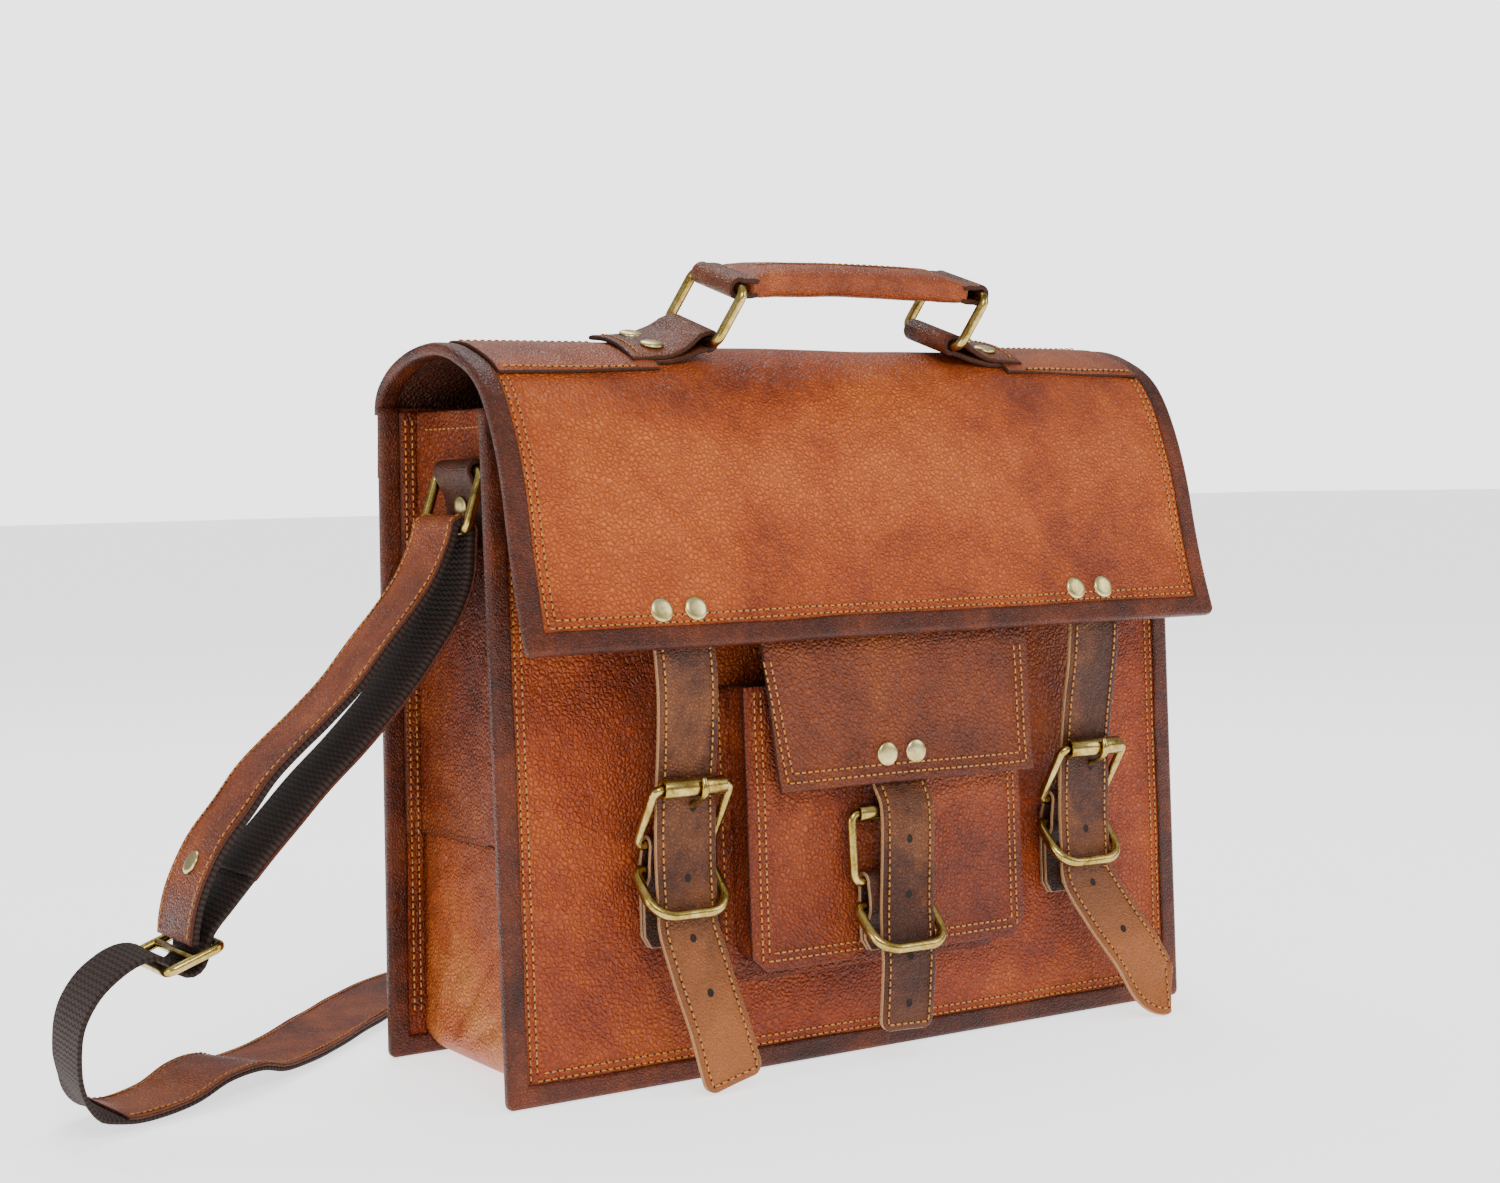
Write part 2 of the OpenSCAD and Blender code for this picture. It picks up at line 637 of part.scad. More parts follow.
tail_sides = [
    [0, 1, 0], [0, 1, 0], [0, 1, 0], [0, 1, 0], [0, 1, 0], [0, 1, 0], [0, 1, 0],
    [0, 1, 0], [0, 1, 0], [0, 1, 0], [0, 1, 0], [0.02, 1, 0], [0.03, 1, 0],
    [0.04, 1, 0], [0.06, 1, 0], [0.1, 1, 0], [-0.1, 1, 0], [-0.3, 1, 0.02], [-0.35, 1, 0.05], [-0.4, 0.9, 0.1],
    [-0.5, 0.8, 0.14], [-0.6, 0.7, 0.18], [-0.65, 0.65, 0.22], [-0.65, 0.65, 0.24], [-0.6, 0.7, 0.24], [-0.5, 0.8, 0.2],
    [-0.3, 0.9, 0.1], [-0.1, 1, 0.03], [0.05, 1, 0], [0.2, 1, 0], [0.4, 0.9, 0], [0.7, 0.7, 0], [0.9, 0.4, 0],
    [1, 0.2, 0], [1, 0.15, 0.1], [0.8, 0.7, 0.1], [0.3, 1, 0], [0.05, 1, 0], [0, 1, 0], [0, 1, 0]];
module shoulder_strap_tail() {
    color("saddlebrown") difference() {
        flat_strap(spline(tail_points, 2), spline(tail_sides, 2), shoulder_w - 1, web_t);
        translate([-500, -500, -50]) cube([1000, 1000, 50.3]);
    }
}
module shoulder_strap_end() {
    color("sienna") {
        through(-15.5, 15.5) difference() {
            translate([side_low[0], side_low[1]]) circle(wrap_r + run_t / 2);
            translate([side_low[0], side_low[1]]) circle(wrap_r - run_t / 2);
            translate([side_low[0] - 20, side_low[1] - 20]) square([40, 17]);
        }
        through(-shoulder_w / 2, shoulder_w / 2)
            polygon([[side_low[0] + 2.2, side_low[1] - 3.6], [side_low[0] + 5.4, side_low[1] - 1.5],
                     [181.2, 187], [175.6, 187]]);
    }
}
module shoulder_strap_rivets() {
    color("gold") {
        translate([-283.3, 0, 103.4]) rotate([0, -64, 0]) translate([0, 0, 0.4]) rivet_cap();
        translate([180.6, 0, 200]) rotate([0, 87, 0]) rivet_cap();
    }
}
module slider() {
    color("goldenrod") translate([slider_bar[0], 0, slider_bar[1]]) rotate([0, -slider_tilt, 0]) {
        translate([-11.5, 0, 0]) rotate([0, 90, 0]) rotate([0, 0, 90]) wire_loop(44, 23, 3, 3, 2);
        translate([0, -22.5, 0]) rotate([-90, 0, 0]) cylinder(r = 1.75, h = 45);
    }
}

// ---- what is drawn -------------------------------------------------------

front_panel();
back_panel();
front_binding();
back_binding();
gusset_lower();
gusset_upper_left();
gusset_upper_right();
lining();
flap_seat();
side_loop_left();
side_loop_right();
chape_left();
chape_right();
pocket_front();
pocket_gusset();
pocket_flap_top();
pocket_chape();
body_rivets();
flap_panel();
flap_binding();
handle_anchor_left();
handle_anchor_right();
flap_rivets();
strap_left();
strap_right();
handle_ring_left();
handle_ring_right();
handle();
side_ring_left();
side_ring_right();
buckle_left();
buckle_right();
buckle_pocket();
tongue_left();
tongue_right();
tongue_pocket();
roller_left();
roller_right();
roller_pocket();
keeper_left();
keeper_right();
keeper_pocket();
pocket_flap();
pocket_flap_rivets();
pocket_strap();
shoulder_strap_run();
shoulder_strap_tail();
shoulder_strap_end();
shoulder_strap_rivets();
slider();
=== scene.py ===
import math

import bpy
import numpy as np
from mathutils import Matrix, Vector


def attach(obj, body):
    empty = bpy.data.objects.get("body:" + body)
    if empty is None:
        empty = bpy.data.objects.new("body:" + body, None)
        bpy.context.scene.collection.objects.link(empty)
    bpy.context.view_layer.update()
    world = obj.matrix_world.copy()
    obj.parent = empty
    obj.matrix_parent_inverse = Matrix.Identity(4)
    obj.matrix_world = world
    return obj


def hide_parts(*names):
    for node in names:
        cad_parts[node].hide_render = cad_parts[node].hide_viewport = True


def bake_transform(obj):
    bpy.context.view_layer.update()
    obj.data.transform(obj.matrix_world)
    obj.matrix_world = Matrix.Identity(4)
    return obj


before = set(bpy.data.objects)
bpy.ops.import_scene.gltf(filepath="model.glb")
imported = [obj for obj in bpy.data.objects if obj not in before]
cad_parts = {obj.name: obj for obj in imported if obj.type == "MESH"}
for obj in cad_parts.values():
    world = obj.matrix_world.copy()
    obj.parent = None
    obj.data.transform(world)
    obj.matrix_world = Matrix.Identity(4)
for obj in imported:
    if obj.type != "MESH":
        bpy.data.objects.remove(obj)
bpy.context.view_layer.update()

mm = 0.001

# small helpers for shapes, all lengths in millimetres

panelLean = math.radians(1.62)
frontY = -58.0
curveSteps = 24  # short lines between two points of a curve
closeEdge = (0, 0.012, 0.03, 0.055)  # places near an edge, as shares of a width


def onFront(x, out, up):
    # a point given across the bag, out from the front panel and up along it
    x, out, up = np.broadcast_arrays(*(np.asarray(v, float) for v in (x, out, up)))
    return np.stack([x, frontY - out * math.cos(panelLean) + up * math.sin(panelLean),
                     out * math.sin(panelLean) + up * math.cos(panelLean)], -1)


def unit(v):
    # vectors divided by their own length
    return v / np.maximum(np.linalg.norm(v, axis=-1, keepdims=True), 1e-9)


def curveThrough(points, count=None, at=None):
    # Catmull-Rom cubic through the points, then evenly spaced by length, or at the lengths asked for
    p = np.asarray(points, float)
    q = np.vstack([2 * p[0] - p[1], p, 2 * p[-1] - p[-2]])
    t = np.linspace(0, len(p) - 1, curveSteps * (len(p) - 1) + 1)
    i = np.minimum(t.astype(int), len(p) - 2)
    f = (t - i)[:, None]
    a, b, c, d = q[i], q[i + 1], q[i + 2], q[i + 3]
    fine = 0.5 * (2 * b + (c - a) * f + (2 * a - 5 * b + 4 * c - d) * f ** 2 + (3 * b - a - 3 * c + d)
                  * f ** 3)
    length = np.concatenate([[0], np.cumsum(np.linalg.norm(np.diff(fine, axis=0), axis=1))])
    want = np.linspace(0, length[-1], count) if at is None else np.asarray(at, float)
    return np.stack([np.interp(want, length, fine[:, k]) for k in range(p.shape[1])], 1)


def lengthOf(path):
    # sum of the steps between a path's points
    return float(np.linalg.norm(np.diff(path, axis=0), axis=1).sum())


def alongOf(path):
    # distance from a path's first point to each of its points
    return np.concatenate([[0], np.cumsum(np.linalg.norm(np.diff(path, axis=0), axis=1))])


def stepsWithEdge(length, count, edge=(0, 0.35, 0.9, 1.6)):
    # even steps over a length with a few close ones at both ends, where an edge is rounded
    e = np.asarray(edge, float)
    inner = np.linspace(e[-1], length - e[-1], max(count, 2))
    return np.concatenate([e[:-1], inner, length - e[:-1][::-1]])


def tangentOf(path):
    # direction of a path at each point, from its neighbours' difference
    return unit(np.gradient(path, axis=0))


def wobble(x, y, size, seed=0.0):
    # slow hand-made unevenness between -1 and 1: a few sines of unlike lengths added
    u, v = x / size, y / size
    return (np.sin(2.1 * u + 1.3 * v + seed) + np.sin(-1.2 * u + 2.7 * v + 2.2 * seed + 1)
            + np.sin(3.4 * u - 2.1 * v + 3.1 * seed + 4) * 0.6) / 2.6


def newMesh(name, verts, quads, material, lay=None):
    # from_pydata in metres; lay holds millimetres along, across and in from the nearest cut edge
    mesh = bpy.data.meshes.new(name)
    mesh.from_pydata((np.asarray(verts) * mm).tolist(), [], np.asarray(quads).tolist())
    if lay is not None:
        attribute = mesh.attributes.new("lay", "FLOAT_VECTOR", "POINT")
        attribute.data.foreach_set("vector", np.asarray(lay, np.float32).ravel())
    mesh.polygons.foreach_set("use_smooth", np.full(len(mesh.polygons), True))
    mesh.materials.append(material)
    mesh.validate()
    mesh.update()
    obj = bpy.data.objects.new(name, mesh)
    bpy.context.scene.collection.objects.link(obj)
    return obj


def gridQuads(n, m, wrapU=False, wrapV=False):
    # quads of an n by m grid of points, closed round on itself where asked
    i = np.arange(n if wrapU else n - 1)[:, None]
    j = np.arange(m if wrapV else m - 1)[None, :]
    a, b = i * m + j, ((i + 1) % n) * m + j
    c, d = ((i + 1) % n) * m + (j + 1) % m, i * m + (j + 1) % m
    return np.stack([np.broadcast_to(v, (i.shape[0], j.shape[1])) for v in (a, b, c, d)], -1).reshape(-1, 4)


def sheetNormals(mid):
    # a grid's normals: its steps along crossed with its steps across
    return unit(np.cross(np.gradient(mid, axis=0), np.gradient(mid, axis=1)))


def leatherSheet(name, mid, thick, material, under=None):
    # a sheet of leather: the middle surface moved half a thickness both ways, its rim a half circle
    mid = np.asarray(mid, float)
    n, m = mid.shape[:2]
    normal = sheetNormals(mid)
    du = np.linalg.norm(np.diff(mid, axis=0), axis=2)
    dv = np.linalg.norm(np.diff(mid, axis=1), axis=2)
    su = np.vstack([np.zeros((1, m)), np.cumsum(du, 0)])
    sv = np.hstack([np.zeros((n, 1)), np.cumsum(dv, 1)])
    edge = np.minimum(np.minimum(su, su[-1:] - su), np.minimum(sv, sv[:, -1:] - sv))
    fromRim = np.minimum(edge / (thick / 2), 1)
    h = (thick / 4) * (1 + np.sqrt(np.clip(1 - (1 - fromRim) ** 2, 0.02, 1)))
    top, low = mid + normal * h[..., None], mid - normal * h[..., None]
    lay = np.stack([su, sv, edge], -1).reshape(-1, 3)
    k = n * m
    quads = gridQuads(n, m)
    ids = np.arange(k).reshape(n, m)
    rims = []
    for line, flip in ((ids[:, 0], False), (ids[:, -1], True), (ids[0, :], True), (ids[-1, :], False)):
        a, b = line[:-1], line[1:]
        face = np.stack([a, a + k, b + k, b], 1)
        rims.append(face[:, ::-1] if flip else face)
    faces = np.vstack([quads, (quads + k)[:, ::-1]] + rims)
    sheet = newMesh(name, np.vstack([top.reshape(-1, 3), low.reshape(-1, 3)]), faces, material,
                    np.vstack([lay, lay]))
    # where asked, the lower face takes a second material; the flap uses it to paint the shade on its underside
    if under:
        sheet.data.materials.append(under)
        sheet.data.polygons.foreach_set("material_index",
                                        np.repeat([0, 1, 0], [len(quads), len(quads),
                                                              len(faces) - 2 * len(quads)]))
    return sheet


def frames(path, closed=False, start=None):
    # two directions across a path that turn as little as they can along it
    p = np.asarray(path, float)
    t = unit((np.roll(p, -1, 0) - np.roll(p, 1, 0))) if closed else tangentOf(p)
    ref = np.asarray(start if start is not None else (0.3, 0.2, 1.0), float)
    a = np.empty_like(p)
    prev = ref
    for i in range(len(p)):
        prev = prev - t[i] * np.dot(prev, t[i])
        prev = prev / max(np.linalg.norm(prev), 1e-9)
        a[i] = prev
    return t, a, np.cross(t, a)


def rod(name, path, radius, material, closed=False, sides=20, flat=1.0, start=None):
    # a round bar: a circle carried along the path, its ends closed by small domes
    t, a, b = frames(path, closed, start)
    p = np.asarray(path, float)
    rad = np.broadcast_to(np.asarray(radius, float), (len(p),))
    if not closed:
        p = np.vstack([p[0] - t[0] * rad[0] * k for k in (0.5, 0.35, 0.0)] + [p]
                      + [p[-1] + t[-1] * rad[-1] * k for k in (0.0, 0.35, 0.5)])
        rad = np.concatenate([rad[0] * np.array([0.002, 0.7, 1.0]), rad,
                              rad[-1] * np.array([1.0, 0.7, 0.002])])
        a = np.vstack([a[:1]] * 3 + [a] + [a[-1:]] * 3)
        b = np.vstack([b[:1]] * 3 + [b] + [b[-1:]] * 3)
    ang = np.linspace(0, 2 * math.pi, sides, endpoint=False)
    ring = (np.cos(ang)[None, :, None] * a[:, None] * flat + np.sin(ang)[None, :, None] * b[:, None])
    verts = p[:, None] + ring * rad[:, None, None]
    s = alongOf(p)
    lay = np.stack(np.broadcast_arrays(s[:, None], (ang * rad.mean())[None, :], np.full((1, 1), 40.0)), -1)
    n = len(p)
    faces = gridQuads(n, sides, closed, True)
    return newMesh(name, verts.reshape(-1, 3), faces, material, lay.reshape(-1, 3))


def roundedLoop(width, height, lowR, topR, steps=8):
    # closed path: a rectangle with rounded corners, first bar on z = 0, second on z = height
    a = width / 2
    def arc(cx, cz, r, d0):
        d = np.radians(np.linspace(d0, d0 + 90, steps))
        return np.stack([cx + r * np.cos(d), np.zeros(steps), cz + r * np.sin(d)], 1)
    def run(p, q, k):
        return np.linspace(p, q, k + 2)[1:-1]
    c = [arc(a - lowR, lowR, lowR, 270), arc(a - topR, height - topR, topR, 0),
         arc(-a + topR, height - topR, topR, 90), arc(-a + lowR, lowR, lowR, 180)]
    parts = []
    for i in range(4):
        parts += [c[i], run(c[i][-1], c[(i + 1) % 4][0], 6)]
    return np.vstack(parts)


def placed(points, origin, matrix):
    # points turned by a matrix, then moved to an origin
    return np.asarray(points, float) @ np.asarray(matrix, float).T + np.asarray(origin, float)


def turnX(deg):
    # a turn by so many degrees about x
    return np.array(Matrix.Rotation(math.radians(deg), 3, "X"))


def turnY(deg):
    return np.array(Matrix.Rotation(math.radians(deg), 3, "Y"))


def turnZ(deg):
    return np.array(Matrix.Rotation(math.radians(deg), 3, "Z"))


frontTurn = turnX(-1.62)


def join(name, objs):
    # several meshes made one, materials kept
    bpy.ops.object.select_all(action="DESELECT")
    for o in objs:
        o.select_set(True)
    bpy.context.view_layer.objects.active = objs[0]
    if len(objs) > 1:
        bpy.ops.object.join()
    objs[0].name = name
    objs[0].data.name = name
    return objs[0]


def outward(obj):
    # faces of a closed mesh turned to point out
    bpy.ops.object.select_all(action="DESELECT")
    obj.select_set(True)
    bpy.context.view_layer.objects.active = obj
    bpy.ops.object.mode_set(mode="EDIT")
    bpy.ops.mesh.select_all(action="SELECT")
    bpy.ops.mesh.remove_doubles(threshold=0.000012)
    bpy.ops.mesh.normals_make_consistent(inside=False)
    bpy.ops.object.mode_set(mode="OBJECT")
    return obj


def settle(piece, body, slot, *nodes):
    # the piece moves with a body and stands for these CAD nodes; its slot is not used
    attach(piece, body)
    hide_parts(*nodes)


# materials

def linear(hexCode):
    # an sRGB hex value as linear red, green, blue, alpha
    c = np.array([int(hexCode[i:i + 2], 16) / 255 for i in (1, 3, 5)])
    c = np.where(c <= 0.04045, c / 12.92, ((c + 0.055) / 1.055) ** 2.4)
    return (*[float(v) for v in c], 1.0)


def addNode(tree, kind, settings=None, inputs=None, stops=()):
    # one node: settings of the node or of the input so named, what feeds its inputs (a socket or a value),
    # and for a ramp its stops, each a place and a colour
    node = tree.nodes.new("ShaderNode" + kind)
    for key, value in (settings or {}).items():
        if hasattr(node, key) and key not in node.inputs:
            setattr(node, key, value)
        else:
            node.inputs[key].default_value = value
    for key, source in (inputs or {}).items():
        if isinstance(source, bpy.types.NodeSocket):
            tree.links.new(source, node.inputs[key])
        else:
            node.inputs[key].default_value = source
    for _ in stops[2:]:
        node.color_ramp.elements.new(0.5)
    for i, (place, colour) in enumerate(stops):
        node.color_ramp.elements[i].position = place
        node.color_ramp.elements[i].color = colour
    return node


def newMaterial(name):
    # an empty material with one shader wired to its output
    material = bpy.data.materials.new(name)
    material.use_nodes = True
    tree = material.node_tree
    tree.nodes.clear()
    out = addNode(tree, "OutputMaterial")
    shader = addNode(tree, "BsdfPrincipled")
    tree.links.new(shader.outputs["BSDF"], out.inputs["Surface"])
    return material, tree, shader


def leatherMaterial(name, dark, base, light, rawEdge, rough=0.42, grainMm=2.1, grainDepth=0.3, edgeDark=0.55,
                    edgeWidth=9.0, blotchMm=85.0, coat=0.05, shift=(0.0, 0.0, 0.0), paleAlong=None):
    # vegetable-tanned leather, waxed: uneven tan, fine pebbled grain with painted shade in its creases and painted
    # highlight on its tops, soft gloss, darker rubbed edges
    material, tree, shader = newMaterial(name)
    where = addNode(tree, "TexCoord").outputs["Object"]
    moved = addNode(tree, "Mapping", {"Location": shift}, {"Vector": where}).outputs["Vector"]
    lay = addNode(tree, "Attribute", {"attribute_name": "lay"}).outputs["Vector"]
    parts = addNode(tree, "SeparateXYZ", None, {"Vector": lay})
    edge = parts.outputs["Z"]
    big = addNode(tree, "TexNoise",
                  {"Scale": 1000.0 / blotchMm, "Detail": 5.0, "Roughness": 0.6, "Distortion": 0.6},
                  {"Vector": moved}).outputs[0]
    mid = addNode(tree, "TexNoise",
                  {"Scale": 1000.0 / 16.0, "Detail": 5.0, "Roughness": 0.62, "Distortion": 0.3},
                  {"Vector": moved}).outputs[0]
    speck = addNode(tree, "TexNoise", {"Scale": 1000.0 / 1.8, "Detail": 2.0, "Roughness": 0.6},
                    {"Vector": moved}).outputs[0]
    tone = 0.0
    for part, share in ((big, 0.66), (mid, 0.24), (speck, 0.1)):
        tone = addNode(tree, "Math", {"operation": "MULTIPLY_ADD"}, {0: part, 1: share, 2: tone}).outputs[0]
    colour = addNode(tree, "ValToRGB", None, {0: tone},
                     [(0.38, linear(dark)), (0.5, linear(base)), (0.61, linear(light))]).outputs[0]
    cells = addNode(tree, "TexVoronoi", {"feature": "DISTANCE_TO_EDGE", "Scale": 1000.0 / grainMm,
                                                   "Randomness": 1.0}, {"Vector": moved}).outputs["Distance"]
    crease = addNode(tree, "Math", {"operation": "SMOOTH_MIN"},
                     {0: addNode(tree, "Math", {"operation": "MULTIPLY"}, {0: cells, 1: 2.6}).outputs[0],
                      1: 1.0, 2: 0.4}).outputs[0]
    pebble = addNode(tree, "TexNoise", {"Scale": 1000.0 / 2.7, "Detail": 3.0, "Roughness": 0.55},
                     {"Vector": moved}).outputs[0]
    streak = addNode(tree, "TexNoise",
                     {"noise_type": "RIDGED_MULTIFRACTAL", "Scale": 1000.0 / 11.0, "Detail": 6.0,
                      "Roughness": 0.7, "Distortion": 0.5},
                      {"Vector": addNode(tree, "Mapping",
                                         {"Scale": (0.35, 1.0, 1.6), "Rotation": (0.2, 0.3, 0.5)},
                                         {"Vector": moved}).outputs["Vector"]}).outputs[0]
    wrinkle = addNode(tree, "Math", {"operation": "MULTIPLY"}, {0: streak, 1: 0.5}).outputs[0]
    # painted shade in the creases and hollows of the grain, painted highlight on the tops of the grain
    for high, low, share, paintedGrainLight in ((1.0, crease, 0.62, dark), (pebble, 0.5, 0.5, light),
                                    (0.5, pebble, 0.9, dark)):
        amount = addNode(tree, "Math", {"operation": "SUBTRACT", "use_clamp": True},
                         {0: high, 1: low}).outputs[0]
        colour = addNode(tree, "Mix", {"data_type": "RGBA"},
                         {0: addNode(tree, "Math", {"operation": "MULTIPLY"},
                                     {0: amount, 1: share}).outputs[0], 6: colour,
                                     7: linear(paintedGrainLight)}).outputs[2]
    if paleAlong:
        # darker over the strap's upper length, paler towards its tail, changing from one length along it to another
        paleEnd = addNode(tree, "Math", {"operation": "DIVIDE", "use_clamp": True},
                       {0: addNode(tree, "Math", {"operation": "SUBTRACT"},
                                   {0: parts.outputs["X"], 1: paleAlong[0]}).outputs[0],
                                   1: paleAlong[1] - paleAlong[0]}).outputs[0]
        colour = addNode(tree, "Mix", {"data_type": "RGBA"},
                         {0: addNode(tree, "Math", {"operation": "MULTIPLY"}, {0: paleEnd, 1: 0.8}).outputs[0],
                          6: addNode(tree, "Mix", {"data_type": "RGBA"},
                                     {0: 0.5, 6: colour, 7: linear(dark)}).outputs[2],
                                     7: addNode(tree, "Mix", {"data_type": "RGBA"},
                                                {0: 0.75, 6: colour, 7: linear(light)}).outputs[2]}).outputs[2]
    # rubbed, darker band beside a sewn or cut edge, broken by the blotches
    near = addNode(tree, "Math", {"operation": "DIVIDE"}, {0: edge, 1: edgeWidth}).outputs[0]
    near = addNode(tree, "Math", {"operation": "SUBTRACT", "use_clamp": True}, {0: 1.0, 1: near}).outputs[0]
    near = addNode(tree, "Math", {"operation": "MULTIPLY"}, {0: near, 1: near}).outputs[0]
    near = addNode(tree, "Math", {"operation": "MULTIPLY"},
                   {0: near, 1: addNode(tree, "Math", {"operation": "ADD"},
                                        {0: mid, 1: 0.35}).outputs[0]}).outputs[0]
    colour = addNode(tree, "Mix", {"data_type": "RGBA"},
                     {0: addNode(tree, "Math", {"operation": "MULTIPLY", "use_clamp": True},
                                 {0: near, 1: edgeDark}).outputs[0], 6: colour, 7: linear(dark)}).outputs[2]
    raw = addNode(tree, "Math", {"operation": "LESS_THAN"}, {0: edge, 1: 0.3}).outputs[0]
    colour = addNode(tree, "Mix", {"data_type": "RGBA"}, {0: raw, 6: colour, 7: linear(rawEdge)}).outputs[2]
    tree.links.new(colour, shader.inputs["Base Color"])
    rub = addNode(tree, "Math", {"operation": "MULTIPLY_ADD"}, {0: mid, 1: 0.22, 2: rough - 0.11}).outputs[0]
    rub = addNode(tree, "Math", {"operation": "MULTIPLY_ADD"}, {0: raw, 1: 0.3, 2: rub}).outputs[0]
    tree.links.new(rub, shader.inputs["Roughness"])
    fine = addNode(tree, "TexNoise", {"Scale": 1000.0 / 0.5, "Detail": 2.0, "Roughness": 0.5},
                   {"Vector": moved}).outputs[0]
    height = 0.0
    for part, share in ((crease, grainDepth * 1.3), (fine, 0.05), (pebble, grainDepth * 1.5), (wrinkle, 0.3),
                        (mid, 0.9)):
        height = addNode(tree, "Math", {"operation": "MULTIPLY_ADD"},
                         {0: part, 1: share, 2: height}).outputs[0]
    bump = addNode(tree, "Bump", {"Strength": 1.0, "Distance": 0.0017}, {"Height": height})
    tree.links.new(bump.outputs["Normal"], shader.inputs["Normal"])
    shader.inputs["Coat Weight"].default_value = coat
    shader.inputs["Coat Roughness"].default_value = 0.3
    shader.inputs["IOR"].default_value = 1.48
    shader.inputs["Specular IOR Level"].default_value = 0.28
    return material


def brassMaterial(name, base, paleEnd, dark, rough=0.3):
    # antiqued brass plate: pale gold where it is rubbed, brown oxide left in patches
    material, tree, shader = newMaterial(name)
    where = addNode(tree, "TexCoord").outputs["Object"]
    patches = addNode(tree, "TexNoise",
                      {"Scale": 1000.0 / 9.0, "Detail": 6.0, "Roughness": 0.65, "Distortion": 0.4},
                      {"Vector": where}).outputs[0]
    fine = addNode(tree, "TexNoise", {"Scale": 1000.0 / 1.2, "Detail": 3.0, "Roughness": 0.6},
                   {"Vector": where}).outputs[0]
    tone = addNode(tree, "Math", {"operation": "MULTIPLY_ADD"},
                   {0: fine, 1: 0.25, 2: addNode(tree, "Math", {"operation": "MULTIPLY"},
                                                 {0: patches, 1: 0.75}).outputs[0]}).outputs[0]
    colour = addNode(tree, "ValToRGB", None, {0: tone},
                     [(0.33, linear(dark)), (0.47, linear(base)), (0.68, linear(paleEnd))]).outputs[0]
    tree.links.new(colour, shader.inputs["Base Color"])
    shader.inputs["Metallic"].default_value = 1.0
    gloss = addNode(tree, "Math", {"operation": "MULTIPLY_ADD"},
                    {0: tone, 1: -0.25, 2: rough + 0.16}).outputs[0]
    tree.links.new(gloss, shader.inputs["Roughness"])
    bump = addNode(tree, "Bump", {"Strength": 0.35, "Distance": 0.0001}, {"Height": fine})
    tree.links.new(bump.outputs["Normal"], shader.inputs["Normal"])
    return material


def webbingMaterial(name, dark, base, light):
    # woven cotton-polyester webbing: ribs across the width every 2.3 mm, broken into rows of small knuckles
    material, tree, shader = newMaterial(name)
    lay = addNode(tree, "Attribute", {"attribute_name": "lay"}).outputs["Vector"]
    parts = addNode(tree, "SeparateXYZ", None, {"Vector": lay})
    along, across = parts.outputs["X"], parts.outputs["Y"]
    column = addNode(tree, "Math", {"operation": "FLOOR"},
                     {0: addNode(tree, "Math", {"operation": "DIVIDE"},
                                 {0: across, 1: 2.4}).outputs[0]}).outputs[0]
    odd = addNode(tree, "Math", {"operation": "MULTIPLY"},
                  {0: addNode(tree, "Math", {"operation": "MODULO"}, {0: column, 1: 2.0}).outputs[0],
                   1: 0.22}).outputs[0]
    rib, row = along, across
    for operation, value in (("DIVIDE", 2.3), ("ADD", odd), ("MULTIPLY", math.pi), ("SINE", 0),
                             ("ABSOLUTE", 0)):
        rib = addNode(tree, "Math", {"operation": operation}, {0: rib, 1: value}).outputs[0]
    for operation, value in (("DIVIDE", 2.4), ("MULTIPLY", math.pi), ("SINE", 0), ("ABSOLUTE", 0)):
        row = addNode(tree, "Math", {"operation": operation}, {0: row, 1: value}).outputs[0]
    knuckle = addNode(tree, "Math", {"operation": "MULTIPLY"},
                      {0: rib, 1: addNode(tree, "Math", {"operation": "MULTIPLY_ADD"},
                                          {0: row, 1: 0.3, 2: 0.7}).outputs[0]}).outputs[0]
    where = addNode(tree, "TexCoord").outputs["Object"]
    fuzz = addNode(tree, "TexNoise", {"Scale": 1000.0 / 0.7, "Detail": 3.0, "Roughness": 0.6},
                   {"Vector": where}).outputs[0]
    shade = addNode(tree, "Math", {"operation": "MULTIPLY_ADD"},
                    {0: fuzz, 1: 0.25, 2: addNode(tree, "Math", {"operation": "MULTIPLY"},
                                                  {0: knuckle, 1: 0.75}).outputs[0]}).outputs[0]
    tree.links.new(addNode(tree, "ValToRGB", None, {0: shade},
                           [(0.15, linear(dark)), (0.55, linear(base)), (0.95, linear(light))]).outputs[0],
                           shader.inputs["Base Color"])
    bump = addNode(tree, "Bump", {"Strength": 0.9, "Distance": 0.0005}, {"Height": shade})
    tree.links.new(bump.outputs["Normal"], shader.inputs["Normal"])
    shader.inputs["Roughness"].default_value = 0.8
    shader.inputs["Specular IOR Level"].default_value = 0.3
    return material


def threadMaterial(name, base, dark):
    # waxed polyester thread: twisted strands give a fine slanting shade
    material, tree, shader = newMaterial(name)
    where = addNode(tree, "TexCoord").outputs["Object"]
    strand = addNode(tree, "TexNoise", {"Scale": 1000.0 / 0.6, "Detail": 2.0, "Roughness": 0.5},
                     {"Vector": where}).outputs[0]
    tree.links.new(addNode(tree, "ValToRGB", None, {0: strand},
                           [(0.35, linear(dark)), (0.6, linear(base))]).outputs[0],
                           shader.inputs["Base Color"])
    shader.inputs["Roughness"].default_value = 0.55
    return material


def plainMaterial(name, base, dark, rough, sizeMm):
    # matte cloth or hole: two close tones in small blotches
    material, tree, shader = newMaterial(name)
    where = addNode(tree, "TexCoord").outputs["Object"]
    tone = addNode(tree, "TexNoise", {"Scale": 1000.0 / sizeMm, "Detail": 4.0, "Roughness": 0.6},
                   {"Vector": where}).outputs[0]
    tree.links.new(addNode(tree, "ValToRGB", None, {0: tone},
                           [(0.35, linear(dark)), (0.65, linear(base))]).outputs[0],
                           shader.inputs["Base Color"])
    bump = addNode(tree, "Bump", {"Strength": 0.4, "Distance": 0.0002}, {"Height": tone})
    tree.links.new(bump.outputs["Normal"], shader.inputs["Normal"])
    shader.inputs["Roughness"].default_value = rough
    return material


